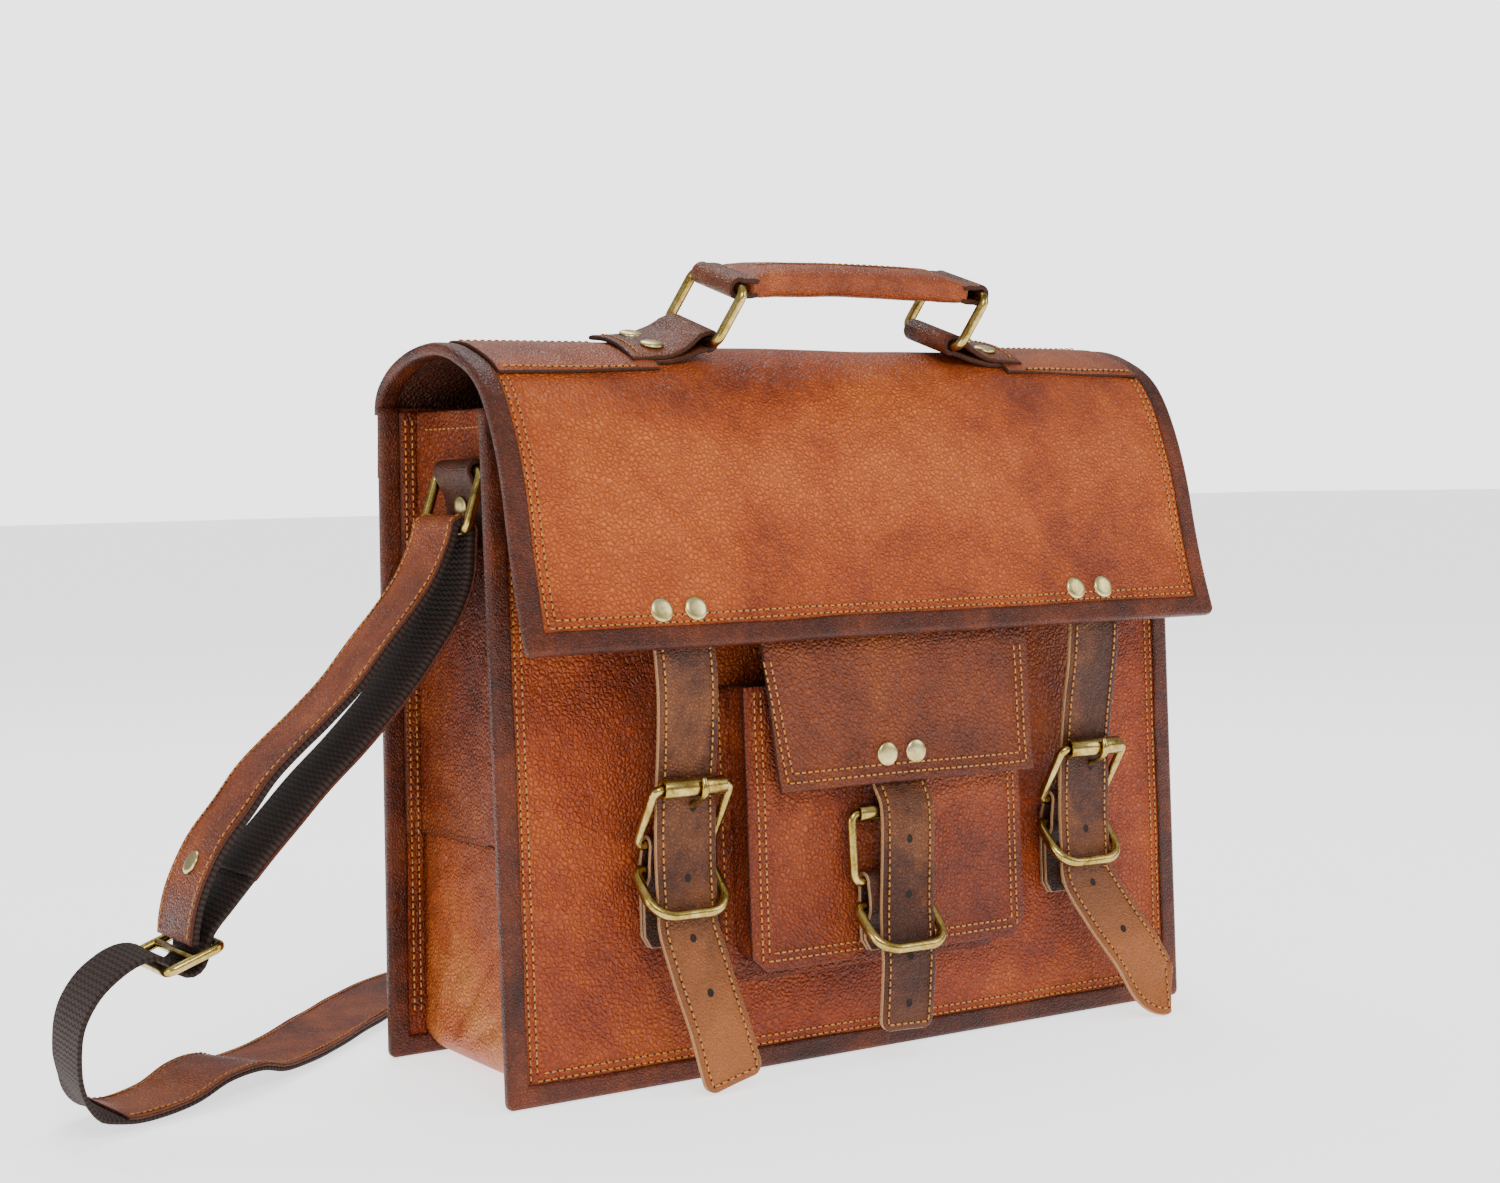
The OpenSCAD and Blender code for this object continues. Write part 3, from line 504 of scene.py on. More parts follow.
flapLeather = leatherMaterial("tannedGoatLeatherFlap", "#742c0b", "#af4e13", "#cb6824", "#4a2412",
                              shift=(0.31, 0.1, 0.2))
panelLeather = leatherMaterial("tannedGoatLeatherPanel", "#5f2008", "#963b0d", "#b85718", "#4a2412",
                               shift=(0.7, 0.4, 0.1))
# the gusset in two copies of one leather: the upper walls darker, painted shade under the flap; the lower part paler
# and more orange, painted light
gussetUpperShadedLeather = leatherMaterial("gussetUpperPaintedShade", "#501a06", "#87360d", "#b05820", "#4a2412",
                                shift=(0.2, 0.7, 0.5))
gussetLowerLitLeather = leatherMaterial("gussetLowerPaintedLight", "#7c3410", "#bb581c", "#d98740", "#4a2412",
                                   shift=(0.2, 0.3, 0.9))
pocketLeather = leatherMaterial("tannedGoatLeatherPocket", "#521a06", "#87350a", "#a64c17", "#3f1d10",
                                shift=(0.4, 0.15, 0.8))
pocketFlapLeather = leatherMaterial("tannedGoatLeatherPocketFlap", "#4d1c07", "#7c360c", "#974c17", "#3f1d10",
                                    shift=(0.15, 0.65, 0.35))
bindingLeather = leatherMaterial("smoothBindingLeather", "#2e0d02", "#562005", "#7a340e", "#331509",
                                 rough=0.38,
                                 grainMm=1.4, grainDepth=0.14, blotchMm=40.0, edgeDark=0.3,
                                 shift=(0.5, 0.2, 0.9))
strapLeather = leatherMaterial("oiledStrapLeather", "#341303", "#52240a", "#ad6631", "#a87c54", rough=0.42,
                               grainMm=1.5, grainDepth=0.16, edgeDark=0.35, edgeWidth=5.0, blotchMm=60.0,
                               shift=(0.9, 0.3, 0.4), paleAlong=(120.0, 185.0))
shoulderLeather = leatherMaterial("foldedShoulderLeather", "#57210a", "#8e4014", "#ae5c28", "#4a2414",
                                  rough=0.42,
                                  grainMm=1.7, grainDepth=0.2, edgeDark=0.35, edgeWidth=5.0, blotchMm=50.0,
                                  shift=(0.25, 0.55, 0.75))
handleLeather = leatherMaterial("rolledHandleLeather", "#682a0e", "#99481d", "#b8642e", "#40200f", rough=0.38,
                                grainMm=1.5, grainDepth=0.16, edgeDark=0.3, blotchMm=45.0,
                                shift=(0.1, 0.9, 0.3))
tabLeather = leatherMaterial("rolledTabLeather", "#4c200b", "#733616", "#934f26", "#3a1d10", rough=0.4,
                             grainMm=1.5, grainDepth=0.16, edgeDark=0.3, blotchMm=40.0,
                             shift=(0.35, 0.45, 0.15))
darkLeather = leatherMaterial("darkLoopLeather", "#2c1207", "#522610", "#743c1b", "#3a1e12", rough=0.42,
                              grainMm=1.4, grainDepth=0.16, edgeDark=0.3, blotchMm=40.0,
                              shift=(0.6, 0.6, 0.6))
chapeLeather = leatherMaterial("darkChapeLeather", "#26120a", "#452110", "#613218", "#a57e5a", rough=0.42,
                               grainMm=1.4, grainDepth=0.16, edgeDark=0.3, blotchMm=40.0,
                               shift=(0.8, 0.1, 0.6))
# the flap's underside, painted shade: a far darker leather standing for the shadow under the flap
flapUndersideShadeLeather = leatherMaterial("flapUndersidePaintedShade", "#2a120a", "#4a2110", "#63301a", "#2a120a", rough=0.5,
                               shift=(0.2, 0.3, 0.6))
brass = brassMaterial("antiquedBrass", "#a58a45", "#d2bf7c", "#4d3a1c", 0.2)
rivetBrass = brassMaterial("brassRivetCap", "#c4b277", "#e6ddb2", "#8b7643", 0.26)
webbing = webbingMaterial("wovenWebbing", "#0a0504", "#281812", "#463127")
thread = threadMaterial("waxedThread", "#cc842c", "#8c5014")
holeDark = plainMaterial("needleHoleShade", "#1d0d07", "#120703", 0.9, 2.0)
liningCloth = plainMaterial("cottonLining", "#4a2f1e", "#38221a", 0.9, 3.0)
print("materials ready")

# stitches, holes and rivets

stitchSizes = {"pitch": 3.2, "length": 2.5, "radius": 0.42, "lift": 0.12, "hole": 0.4}


def stitchRow(path, normals):
    # points evenly along a seam and the leather's outward direction there
    p = np.asarray(path, float)
    s = alongOf(p)
    k = max(int(s[-1] / stitchSizes["pitch"]), 1)
    at = (np.arange(k) + 0.5) * s[-1] / k
    pos = np.stack([np.interp(at, s, p[:, c]) for c in range(3)], 1)
    tan = unit(np.stack([np.interp(at + 0.6, s, p[:, c]) - np.interp(at - 0.6, s, p[:, c]) for c in range(3)],
                        1))
    nor = np.asarray(normals, float)
    if nor.ndim == 1:
        nor = np.broadcast_to(nor, p.shape)
    nor = unit(np.stack([np.interp(at, s, nor[:, c]) for c in range(3)], 1))
    nor = unit(nor - tan * (nor * tan).sum(1, keepdims=True))
    ends = at + s[-1] / k / 2
    posHole = np.stack([np.interp(ends, s, p[:, c]) for c in range(3)], 1)
    return pos, tan, nor, posHole


def stitches(name, rows, body):
    # each stitch is a short six-sided bar whose ends sink in; each hole a small dark dished disc
    pos, tan, nor, hole = (np.vstack(v) for v in zip(*rows))
    side = np.cross(tan, nor)
    size = stitchSizes
    x = np.array([-0.5, -0.32, 0.0, 0.32, 0.5]) * size["length"]
    r = np.array([0.45, 0.95, 1.0, 0.95, 0.45]) * size["radius"]
    z = np.array([-0.35, 0.0, 0.12, 0.0, -0.35]) + size["lift"]
    ang = np.linspace(0, 2 * math.pi, 6, endpoint=False)
    local = np.stack([np.repeat(x, 6), np.tile(np.cos(ang), 5) * np.repeat(r, 6),
                      np.tile(np.sin(ang), 5) * np.repeat(r, 6) * 0.8 + np.repeat(z, 6)], 1)
    verts = (pos[:, None] + tan[:, None] * local[None, :, :1] + side[:, None] * local[None, :, 1:2]
             + nor[:, None] * local[None, :, 2:3])
    count = len(pos)
    quads = gridQuads(5, 6, False, True)
    caps = np.array([[0, 1, 2, 3], [0, 3, 4, 5], [24 + 3, 24 + 2, 24 + 1, 24], [24 + 5, 24 + 4, 24 + 3, 24]])
    one = np.vstack([quads, caps])
    faces = (one[None] + (np.arange(count) * 30)[:, None, None]).reshape(-1, 4)
    threads = newMesh(name, verts.reshape(-1, 3), faces, thread)
    outward(threads)
    ang = np.linspace(0, 2 * math.pi, 8, endpoint=False)
    low = np.stack([np.cos(ang) * size["hole"] * 1.5, np.sin(ang) * size["hole"], np.full(8, 0.05)], 1)
    base = low * np.array([1.15, 1.15, 0]) + np.array([0, 0, -0.4])
    disc = np.vstack([low, base])
    dv = (hole[:, None] + tan[:, None] * disc[None, :, :1] + side[:, None] * disc[None, :, 1:2]
          + nor[:, None] * disc[None, :, 2:3])
    ring = np.stack([np.arange(8), (np.arange(8) + 1) % 8, (np.arange(8) + 1) % 8 + 8, np.arange(8) + 8], 1)
    cap = np.array([[0, 1, 2, 3], [0, 3, 4, 7], [4, 5, 6, 7], [11, 10, 9, 8], [15, 12, 11, 8],
                    [15, 14, 13, 12]])
    faces = (np.vstack([ring, cap])[None] + (np.arange(len(hole)) * 16)[:, None, None]).reshape(-1, 4)
    holes = newMesh(name + "Holes", dv.reshape(-1, 3), faces, holeDark)
    outward(holes)
    piece = join(name, [threads, holes])
    if body:
        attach(piece, body)
    return piece


def domes(name, spots, radius, body, replaces=()):
    # rivet caps: a low dome turned about its axis; spots are (centre of the seat, outward direction)
    profile = np.array([[0.001, 1.35], [0.4, 1.32], [0.7, 1.16], [0.88, 0.86], [0.97, 0.5], [1.0, 0.15],
                        [1.0, -0.6],
                        [0.001, -0.6]])
    sides = 28
    ang = np.linspace(0, 2 * math.pi, sides, endpoint=False)
    allVerts, allFaces = [], []
    for i, (at, out) in enumerate(spots):
        n = unit(np.asarray(out, float))
        a = unit(np.cross(n, np.array([0.3, 0.9, 0.2])))
        b = np.cross(n, a)
        v = (np.asarray(at, float) + profile[:, None, :1] * radius
             * (np.cos(ang)[None, :, None] * a + np.sin(ang)[None, :, None] * b)
             + profile[:, None, 1:2] * n)
        allVerts.append(v.reshape(-1, 3))
        allFaces.append(gridQuads(len(profile), sides, False, True) + i * len(profile) * sides)
    piece = newMesh(name, np.vstack(allVerts), np.vstack(allFaces), rivetBrass)
    outward(piece)
    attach(piece, body)
    if replaces:
        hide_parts(*replaces)
    return piece


# body panels

panel = {"halfWidth": 176.3, "frontTop": 279.0, "backTop": 283.0, "thick": 3.0, "binding": 9.0, "gap": 1.2}


def panelSurface(x, z, back):
    # the flat leaning face with slow swells of under a millimetre, a little fuller where the load sits
    fade = np.clip((panel["halfWidth"] - np.abs(x)) / 40, 0, 1) * np.clip(z / 30, 0, 1)
    out = -1.5 + fade * (0.9 * wobble(x, z, 70, 1.0 if back else 0.2) + 0.35 * wobble(x, z, 24, 2.0))
    p = onFront(x, out, z)
    if back:
        p = p * np.array([1, -1, 1])
    return p


def panelPiece(name, top, back, node):
    # front or back panel: a rectangular grid on the panel's soft surface
    x = stepsWithEdge(panel["halfWidth"] * 2, 90) - panel["halfWidth"]
    z = 1.2 + stepsWithEdge(top - 1.2, 70)
    mid = panelSurface(x[None, :] + 0 * z[:, None], z[:, None] + 0 * x[None, :], back)
    if not back:
        mid = mid[:, ::-1]
    piece = leatherSheet(name, mid, panel["thick"], panelLeather)
    settle(piece, "body", "panel_leather", node)
    return piece


panelPiece("frontPanel", panel["frontTop"], False, "front_panel")
panelPiece("backPanel", panel["backTop"], True, "back_panel")


def bindingPiece(name, base, inward, normal, width, low, high, body, node, seed=0.0):
    # a folded strip over an edge: a rounded flat section carried along the edge, mitred where the edge turns
    base, inward, normal = (np.asarray(v, float) for v in (base, inward, normal))
    s = alongOf(base)
    w = width + 0.35 * wobble(s, 0 * s, 23, seed)
    r = 1.6
    section = np.array([(r, high), (0.25 * r, high - 0.3 * r), (0.0, high - r), (0.0, low + r),
                        (0.25 * r, low + 0.3 * r), (r, low),
               (3.0, low), (6.0, low), (7.6, low), (8.5, low + 0.1), (9.0, low + 0.7),
               (9.0, high - 0.7), (8.5, high - 0.1), (7.6, high), (6.0, high), (3.0, high)])
    e = section[:, 0][None, :] * (w / 9.0)[:, None]
    puff = 0.16 * np.sin(np.clip(section[:, 0] / 9, 0, 1) * math.pi)[None,
                                                                     :] * np.sign(section[:, 1] - (low + high)
                                                                                  / 2)[None, :]
    nz = section[:, 1][None, :] + puff + 0.12 * wobble(s, 0 * s, 9, seed + 1)[:,
                                                                              None] * (np.abs(section[:, 0]
                                                                                              - 4.5) < 4)[None, :]
    verts = base[:, None] + inward[:, None] * e[..., None] + normal[:, None] * nz[..., None]
    n, m = verts.shape[:2]
    lay = np.stack([np.broadcast_to(s[:, None], (n, m)), e,
                    3.0 + 3 * np.minimum(np.abs(e), np.abs(w[:, None] - e))],
                   -1)
    faces = gridQuads(n, m, False, True)
    obj = newMesh(name, verts.reshape(-1, 3), faces, bindingLeather, lay.reshape(-1, 3))
    closeHoles(obj)
    outward(obj)
    if body:
        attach(obj, body)
    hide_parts(node)
    return obj


def closeHoles(obj):
    # caps the open ends of a carried profile
    bpy.ops.object.select_all(action="DESELECT")
    obj.select_set(True)
    bpy.context.view_layer.objects.active = obj
    bpy.ops.object.mode_set(mode="EDIT")
    bpy.ops.mesh.select_all(action="SELECT")
    bpy.ops.mesh.fill_holes(sides=0)
    bpy.ops.object.mode_set(mode="OBJECT")


def edgeAround(half, top, corner, width, dense=3.0):
    # an outline down one side, round a small corner, along the bottom and up again, measured across and up
    # from the lower edge; the second set is where the strip's inner edge lies, drawn together at the corners as a mitre
    k = int((top - corner) / dense)
    turn = np.linspace(0, math.pi / 2, 7)[1:-1]
    sideV = np.linspace(top, corner, k)
    near = corner + np.linspace(width, 0, 5)[1:]
    sideV = np.concatenate([sideV[sideV > corner + width], near])
    bottom = np.linspace(-half + corner, half - corner, int(2 * half / dense))
    left = np.vstack([np.stack([np.full(len(sideV), -half), sideV], 1),
                      np.stack([-half + corner - corner * np.cos(turn), corner - corner * np.sin(turn)], 1)])
    right = left[::-1] * np.array([-1, 1])
    outer = np.vstack([left, np.stack([bottom, 0 * bottom], 1), right])
    inner = np.stack([np.clip(outer[:, 0], -half + width, half - width), np.maximum(outer[:, 1], width)], 1)
    return outer, (inner - outer) / width


def panelEdge(top, back):
    # path, inward direction and face normal of the binding around a panel
    pts, inn = edgeAround(panel["halfWidth"] + panel["gap"], top, 3.0, panel["binding"])
    p = onFront(pts[:, 0], -1.5, pts[:, 1])
    i3 = onFront(inn[:, 0], 0, inn[:, 1]) - onFront(0, 0, 0)
    n3 = np.tile(onFront(0, 1, 0) - onFront(0, 0, 0), (len(p), 1))
    if back:
        flip = np.array([1, -1, 1])
        p, i3, n3 = p * flip, i3 * flip, n3 * flip
    p[:, 2] = np.maximum(p[:, 2], 0.15)
    return p, i3, n3


for label, top, back, node in (("frontBinding", panel["frontTop"], False, "front_binding"),
                               ("backBinding", panel["backTop"], True, "back_binding")):
    p, i3, n3 = panelEdge(top, back)
    piece = bindingPiece(label, p, i3, n3, panel["binding"], -2.7, 2.7, "body", node, 1.0 + back)
print("panels ready")

# gussets: side walls that fold in a little, their margins turned out and sewn to the panels

gusset = {"x": 160.0, "corner": 15.0, "thick": 2.5, "flange": 9.0}
acrossGusset = np.concatenate([-np.ones(8), np.linspace(-1, 1, 61)[1:-1], np.ones(8)])  # from panel to panel


def gussetSection(z):
    # half depth between the panels at a height, less the gusset's own half thickness
    return 55.0 - z * math.tan(panelLean) - 1.4


def gussetGrid(cx, cz, nx, nz, flange, fold, crease):
    # a wall carried along a path in the x-z plane: from one panel to the other, both margins turned outwards
    y = acrossGusset
    out = np.concatenate([np.linspace(1, 0.02, 8), np.zeros(59), np.linspace(0.02, 1, 8)])
    half = gussetSection(np.maximum(cz, 0))[:, None]
    yy = y[None, :] * half
    flat = np.abs(y)[None, :]
    lift = out[None, :] * flange[:, None]
    inside = (1 - flat ** 2) * (out == 0)[None, :]
    push = inside * fold[:, None] + crease * (inside ** 0.5) * (out == 0)[None, :]
    # the turn from wall to margin is rounded
    soft = np.exp(-((1 - flat) * half / 2.2) ** 2) * (out == 0)[None, :] * np.minimum(flange[:, None] / 9,
                                                                                      1) * 1.6
    push = push + soft
    return np.stack([cx[:, None] + nx[:, None] * (lift + push), yy,
                     cz[:, None] + nz[:, None] * (lift + push)], -1)


def gussetUpper(side):
    # side wall above the corner: a straight path up whose fold deepens to the top
    zs = 98.5 + stepsWithEdge(281 - 98.5, 60)
    k = len(zs)
    fold = -1.0 - 6.5 * np.clip((zs - 130) / 130, 0, 1)
    y = acrossGusset
    crease = 0.7 * wobble(y[None, :] * 50, zs[:, None], 22, 3.0 + side) + 0.5 * wobble(y[None, :] * 50,
                                                                                       zs[:, None],
                                                                                       9, 5.0)
    mid = gussetGrid(np.full(k, side * (gusset["x"] + 0.2)), zs, np.full(k, float(side)), np.zeros(k),
                     np.full(k, gusset["flange"]), fold, crease)
    if side < 0:
        mid = mid[:, ::-1]
    return mid


def gussetLower():
    # the path: down the left wall, round the corner, across the base, and up the right wall
    r = gusset["corner"]
    x = gusset["x"]
    wall = np.linspace(99.6, r + 1.3, 36)
    arc = np.radians(np.linspace(180, 270, 14))
    cx = np.concatenate([np.full(36, -x), -x + r + r * np.cos(arc)[1:-1], np.linspace(-x + r, x - r, 60)])
    cz = np.concatenate([wall, 1.3 + r + r * np.sin(arc)[1:-1], np.full(60, 1.3)])
    cx = np.concatenate([cx, x - r - r * np.cos(arc)[::-1][1:-1], np.full(36, x)])
    cz = np.concatenate([cz, 1.3 + r + r * np.sin(arc)[::-1][1:-1], wall[::-1]])
    t = unit(np.gradient(np.stack([cx, cz], 1), axis=0))
    nx, nz = t[:, 1], -t[:, 0]
    side = np.clip((cz - 8) / 14, 0, 1)
    flange = gusset["flange"] * side
    y = acrossGusset
    amount = np.clip((cz - 3) / 25, 0, 1)[:, None]
    s = np.arange(len(cx))[:, None] * 3.0
    depth = y[None, :] * 50
    low = np.clip((70 - cz[:, None]) / 50, 0, 1)
    crease = amount * (1.3 * wobble(depth + s * 0.35, s, 26, 1.0) + 0.5 * wobble(depth - s * 0.5, s, 10, 2.0))
    # folds that fan out from the bottom corner at the back
    for slope, place, size in ((0.9, 38, 3.2), (0.35, 44, -2.6), (1.7, 30, 2.2), (-0.5, -36, 1.8)):
        crease = crease + low * amount * size * np.exp(-((depth - place + slope * cz[:, None]) / 4.5) ** 2)
    fold = 1.5 * amount[:, 0] - 0.5
    grid = gussetGrid(cx, cz, -nx, -nz, flange, fold, crease)
    grid[..., 2] = np.maximum(grid[..., 2], 1.25)
    return grid


# the lower gusset takes the paler copy, painted light
piece = leatherSheet("gussetLower", gussetLower(), gusset["thick"], gussetLowerLitLeather)
settle(piece, "body", "gusset_leather", "gusset_lower")
upperMids = {}
# the upper walls take the darker copy, painted shade under the flap
for side, node in ((-1, "gusset_upper_left"), (1, "gusset_upper_right")):
    upperMids[side] = gussetUpper(side)
    piece = leatherSheet("gussetUpperLeft" if side < 0 else "gussetUpperRight", upperMids[side],
                         gusset["thick"],
                         gussetUpperShadedLeather)
    settle(piece, "body", "gusset_leather", node)

# lining: a rounded box surface open at the top, out from the middle of the base and up the walls
spread = np.concatenate([np.linspace(0.02, 1, 14), np.ones(40)])
up = np.concatenate([np.full(14, 4.2), np.linspace(4.2, 263, 41)[1:]])
around = np.linspace(0, 2 * math.pi, 120, endpoint=False)
power = 0.22
ex = np.sign(np.cos(around)) * np.abs(np.cos(around)) ** power
ey = np.sign(np.sin(around)) * np.abs(np.sin(around)) ** power
halfY = gussetSection(up) - 3.6
mid = np.stack([spread[:, None] * ex[None, :] * 150.5, spread[:, None] * ey[None, :] * halfY[:, None],
                np.broadcast_to(up[:, None], (54, 120))], -1)
mid = np.concatenate([mid, mid[:, :1]], 1)
piece = leatherSheet("clothLining", mid, 0.8, liningCloth)
settle(piece, "body", "lining", "lining")
print("gussets and lining ready")

# flap

flapOuter = np.array([[47.5, 292], [38, 298.2], [26, 302.6], [12, 305.6], [-4, 306.6], [-18, 305.2],
                      [-30, 301.6],
                      [-41, 296.4], [-50, 288.6], [-57.5, 277], [-64, 262], [-69, 245], [-73.5, 225],
                      [-79, 204],
                      [-83, 192], [-86, 184]], float)
flapBack = np.array([[54.9, 253], [53.6, 272], [53.0, 282], [51.6, 287]], float)
flap = {"half": 176.3, "thick": 3.0, "cut": 5.0}
flapFine = curveThrough(np.vstack([flapBack, flapOuter]), 900)
flapLength = lengthOf(flapFine)
flapAlong = alongOf(flapFine)
flapTan = tangentOf(flapFine)
flapNor = np.stack([-flapTan[:, 1], flapTan[:, 0]], 1) * -1


def flapPoint(s, x, depth):
    # a point of the flap: length s along its middle line from the sewn end, x across, depth inwards
    s, x = np.broadcast_arrays(np.asarray(s, float), np.asarray(x, float))
    y = np.interp(s, flapAlong, flapFine[:, 0])
    z = np.interp(s, flapAlong, flapFine[:, 1])
    ny = np.interp(s, flapAlong, flapNor[:, 0])
    nz = np.interp(s, flapAlong, flapNor[:, 1])
    free = np.clip((s - 60) / 60, 0, 1)
    ends = np.clip((s - 150) / 80, 0, 1)
    swell = free * (0.8 * wobble(x, s, 60, 0.7) + 0.3 * wobble(x, s, 21, 1.7)) + ends * 0.8 * wobble(x, 0 * s,
                                                                                                     48,
                                                                                                     2.4)
    swell = np.maximum(swell, -1.0)
    seat = np.exp(-((s - 118) / 26) ** 2) * (np.exp(-((np.abs(x) - 80) / 26) ** 2))
    swell = swell * (1 - seat)
    away = swell - depth
    return np.stack([x, y + ny * away, z + nz * away], -1)


xs = stepsWithEdge(flap["half"] * 2, 100) - flap["half"]
ss = stepsWithEdge(flapLength, 120)
cutDown = flap["cut"] * np.clip((np.abs(xs) - (flap["half"] - flap["cut"])) / flap["cut"], 0, 1)
scale = (flapLength - cutDown) / flapLength
mid = flapPoint(ss[:, None] * scale[None, :], xs[None, :], 1.5)
# the flap's lower face takes the dark leather that paints the shade under the flap
piece = leatherSheet("flapPanel", mid, flap["thick"], flapLeather, under=flapUndersideShadeLeather)
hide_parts("flap_panel", "flap_seat")
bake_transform(piece)

# flap binding: down the left side, along the lower edge, up the right side
startS = 27.0
flapEdge, flapIn = edgeAround(flap["half"] + 1.2, flapLength + 1.2 - startS, 3.0, 9.0)


def flapEdgePoint(s, x):
    # like flapPoint but carried on past the lower edge in a straight line
    over = np.maximum(s - flapLength, 0)
    p = flapPoint(np.minimum(s, flapLength), x, 1.5)
    t = flapTan[-1]
    return p + np.stack([0 * over, over * t[0], over * t[1]], -1)


def normal2(s):
    # the flap's outward normal at a length along its section
    return np.stack([0 * s, np.interp(s, flapAlong, flapNor[:, 0]), np.interp(s, flapAlong, flapNor[:, 1])],
                    1)


def tangent2(s):
    # the flap's direction at a length along its section
    return np.stack([0 * s, np.interp(s, flapAlong, flapTan[:, 0]), np.interp(s, flapAlong, flapTan[:, 1])],
                    1)


edgeS = flapLength + 1.2 - flapEdge[:, 1]
base = flapEdgePoint(edgeS, flapEdge[:, 0])
nrm = normal2(np.minimum(edgeS, flapLength))
inn = -tangent2(np.minimum(edgeS, flapLength)) * flapIn[:, 1:2]
inn[:, 0] = flapIn[:, 0]
piece = bindingPiece("flapBinding", base, inn, nrm, 9.0, -2.6, 2.6, None, "flap_binding", 4.0)
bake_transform(piece)
print("flap ready")

# handle anchors and their long strips

bar = {"x": 64.3, "y": -24.2, "z": 312.2, "tilt": 17.0, "lean": 25.0, "drop": 25.5, "wire": 2.25,
       "width": 41.5}
barTurn = turnX(bar["tilt"])


def flapS(y):
    # length along the flap at which its outside passes over y, in front of the top
    front = flapAlong > 60
    return float(np.interp(-y, -flapFine[front][:, 0], flapAlong[front]))


sBack, sFront = flapS(-1.5), flapS(-45.5)


def anchorPiece(side, node):
    # the strip lies on the flap, thickens into the tab, goes round the bar and comes back underneath
    name = "handleAnchorLeft" if side < 0 else "handleAnchorRight"
    reach = np.concatenate([167.5 - np.array([0, 0.4, 0.9]), np.linspace(166, 93.6, 34), [93.0, 92.4, 92.0]])
    v = stepsWithEdge(1.0, 28, closeEdge)
    width = sFront - sBack
    taper = np.interp(reach, [99, 167], [2.4, 0.0])[:, None]
    strip = flapPoint(sBack + taper + v[None, :] * (width - 2 * taper), -reach[:, None], -1.15)
    # profile of the tab in the bar's frame: out from the bar, and up from the flap
    r = bar["wire"] + 1.55
    turn = np.radians(np.linspace(75, -105, 16))
    prof = np.vstack([[-38.5, -4.7], [-33, -4.5], [-26, -4.0], [-18, -3.1], [-11, -1.2], [-6, 1.8],
                      [-2.6, 3.3],
                      np.stack([r * np.cos(turn), r * np.sin(turn)], 1), [-5, -4.6], [-10, -5.6], [-18, -5.9],
                      [-24, -6.1], [-28, -6.3]])
    prof = curveThrough(prof, 74)
    half = np.interp(-prof[:, 0], [0, 4, 14, 22, 40], [16.3, 16.4, 18.6, 19.2, 19.4])
    yv = (v * 2 - 1)
    hug = np.clip((-prof[:, :1] - 6) / 14, 0, 1) * (yv[None, :] * half[:, None]) ** 2 / 140
    tab = np.stack([np.broadcast_to(prof[:, :1], (74, len(v))), -yv[None, :] * half[:, None],
                    prof[:, 1:2] - hug], -1)
    tab = placed(tab, (-bar["x"], bar["y"], bar["z"]), barTurn)
    layers = []
    for grid, thick, finish in ((strip, 2.3, handleLeather), (tab, 2.3, tabLeather)):
        if side > 0:
            grid = (grid * np.array([-1, 1, 1]))[:, ::-1]
        layers.append(leatherSheet(name, grid, thick, finish))
    piece = join(name, layers)
    outward(piece)
    settle(piece, "flap", "strap_leather", node)


for side, node in ((-1, "handle_anchor_left"), (1, "handle_anchor_right")):
    anchorPiece(side, node)


def ringPiece(name, path, wire, body):
    # a bent wire ring on the body of the same name
    piece = rod(name, path, wire, brass, True)
    outward(piece)
    settle(piece, body, "antique_brass", body)


for side, label, body in ((-1, "handleRingLeft", "handle_ring_left"),
                          (1, "handleRingRight", "handle_ring_right")):
    loop = placed(roundedLoop(bar["width"], bar["drop"], 4.2, 4.2), (0, 0, 0),
                  barTurn @ turnY(bar["lean"]) @ turnZ(90))
    ringPiece(label, loop + np.array([side * bar["x"], bar["y"], bar["z"]]), bar["wire"], body)

# handle: one leather skin, rolled round in the middle, flat and wide where it goes round the bars
handleAt = placed([[bar["drop"] * math.sin(math.radians(bar["lean"])), 0,
                    bar["drop"] * math.cos(math.radians(bar["lean"]))]],
                  (0, bar["y"], bar["z"]), barTurn)[0]
handleHalf = 57.2
xh = np.concatenate([[-handleHalf], np.linspace(-57.0, 57.0, 120), [handleHalf]])
around = np.linspace(0, 2 * math.pi, 56, endpoint=False)
t = np.abs(xh) / handleHalf
halfWide = np.interp(t, [0, 0.6, 0.84, 0.94, 1.0], [12.0, 12.4, 13.4, 15.4, 16.2])
handleHigh = ([0, 0.6, 0.84, 0.95, 1.0], [6.8, 6.8, 6.3, 5.2, 4.2])
halfHigh = np.interp(t, *handleHigh)
arch = 1.6 * (1 - t ** 2) + 0.25 * wobble(xh, 0 * xh, 15, 2.0)
power = np.interp(t, [0, 0.7, 1.0], [0.85, 0.7, 0.4])[:, None]
cy = np.sign(np.cos(around)) * np.abs(np.cos(around)) ** power * halfWide[:, None]
cz = np.sign(np.sin(around)) * np.abs(np.sin(around)) ** power * halfHigh[:, None]
seam = np.exp(-((np.cos(around)[None, :] * halfWide[:, None] - 0.5) / 1.2) ** 2) * (np.sin(around) > 0)[None,
                                                                                                        :]
cz = cz - 0.5 * seam + arch[:, None]
ends = np.array([0.35] + [1.0] * 120 + [0.35])[:, None]
verts = np.stack([np.broadcast_to(xh[:, None], cy.shape), cy * ends, cz * ends], -1)
lay = np.stack([np.broadcast_to(xh[:, None], cy.shape), cy, np.full_like(cy, 30.0)], -1)
grip = newMesh("grip", placed(verts, handleAt, barTurn).reshape(-1, 3), gridQuads(122, 56, False, True),
               handleLeather,
               lay.reshape(-1, 3))
closeHoles(grip)
loops = []
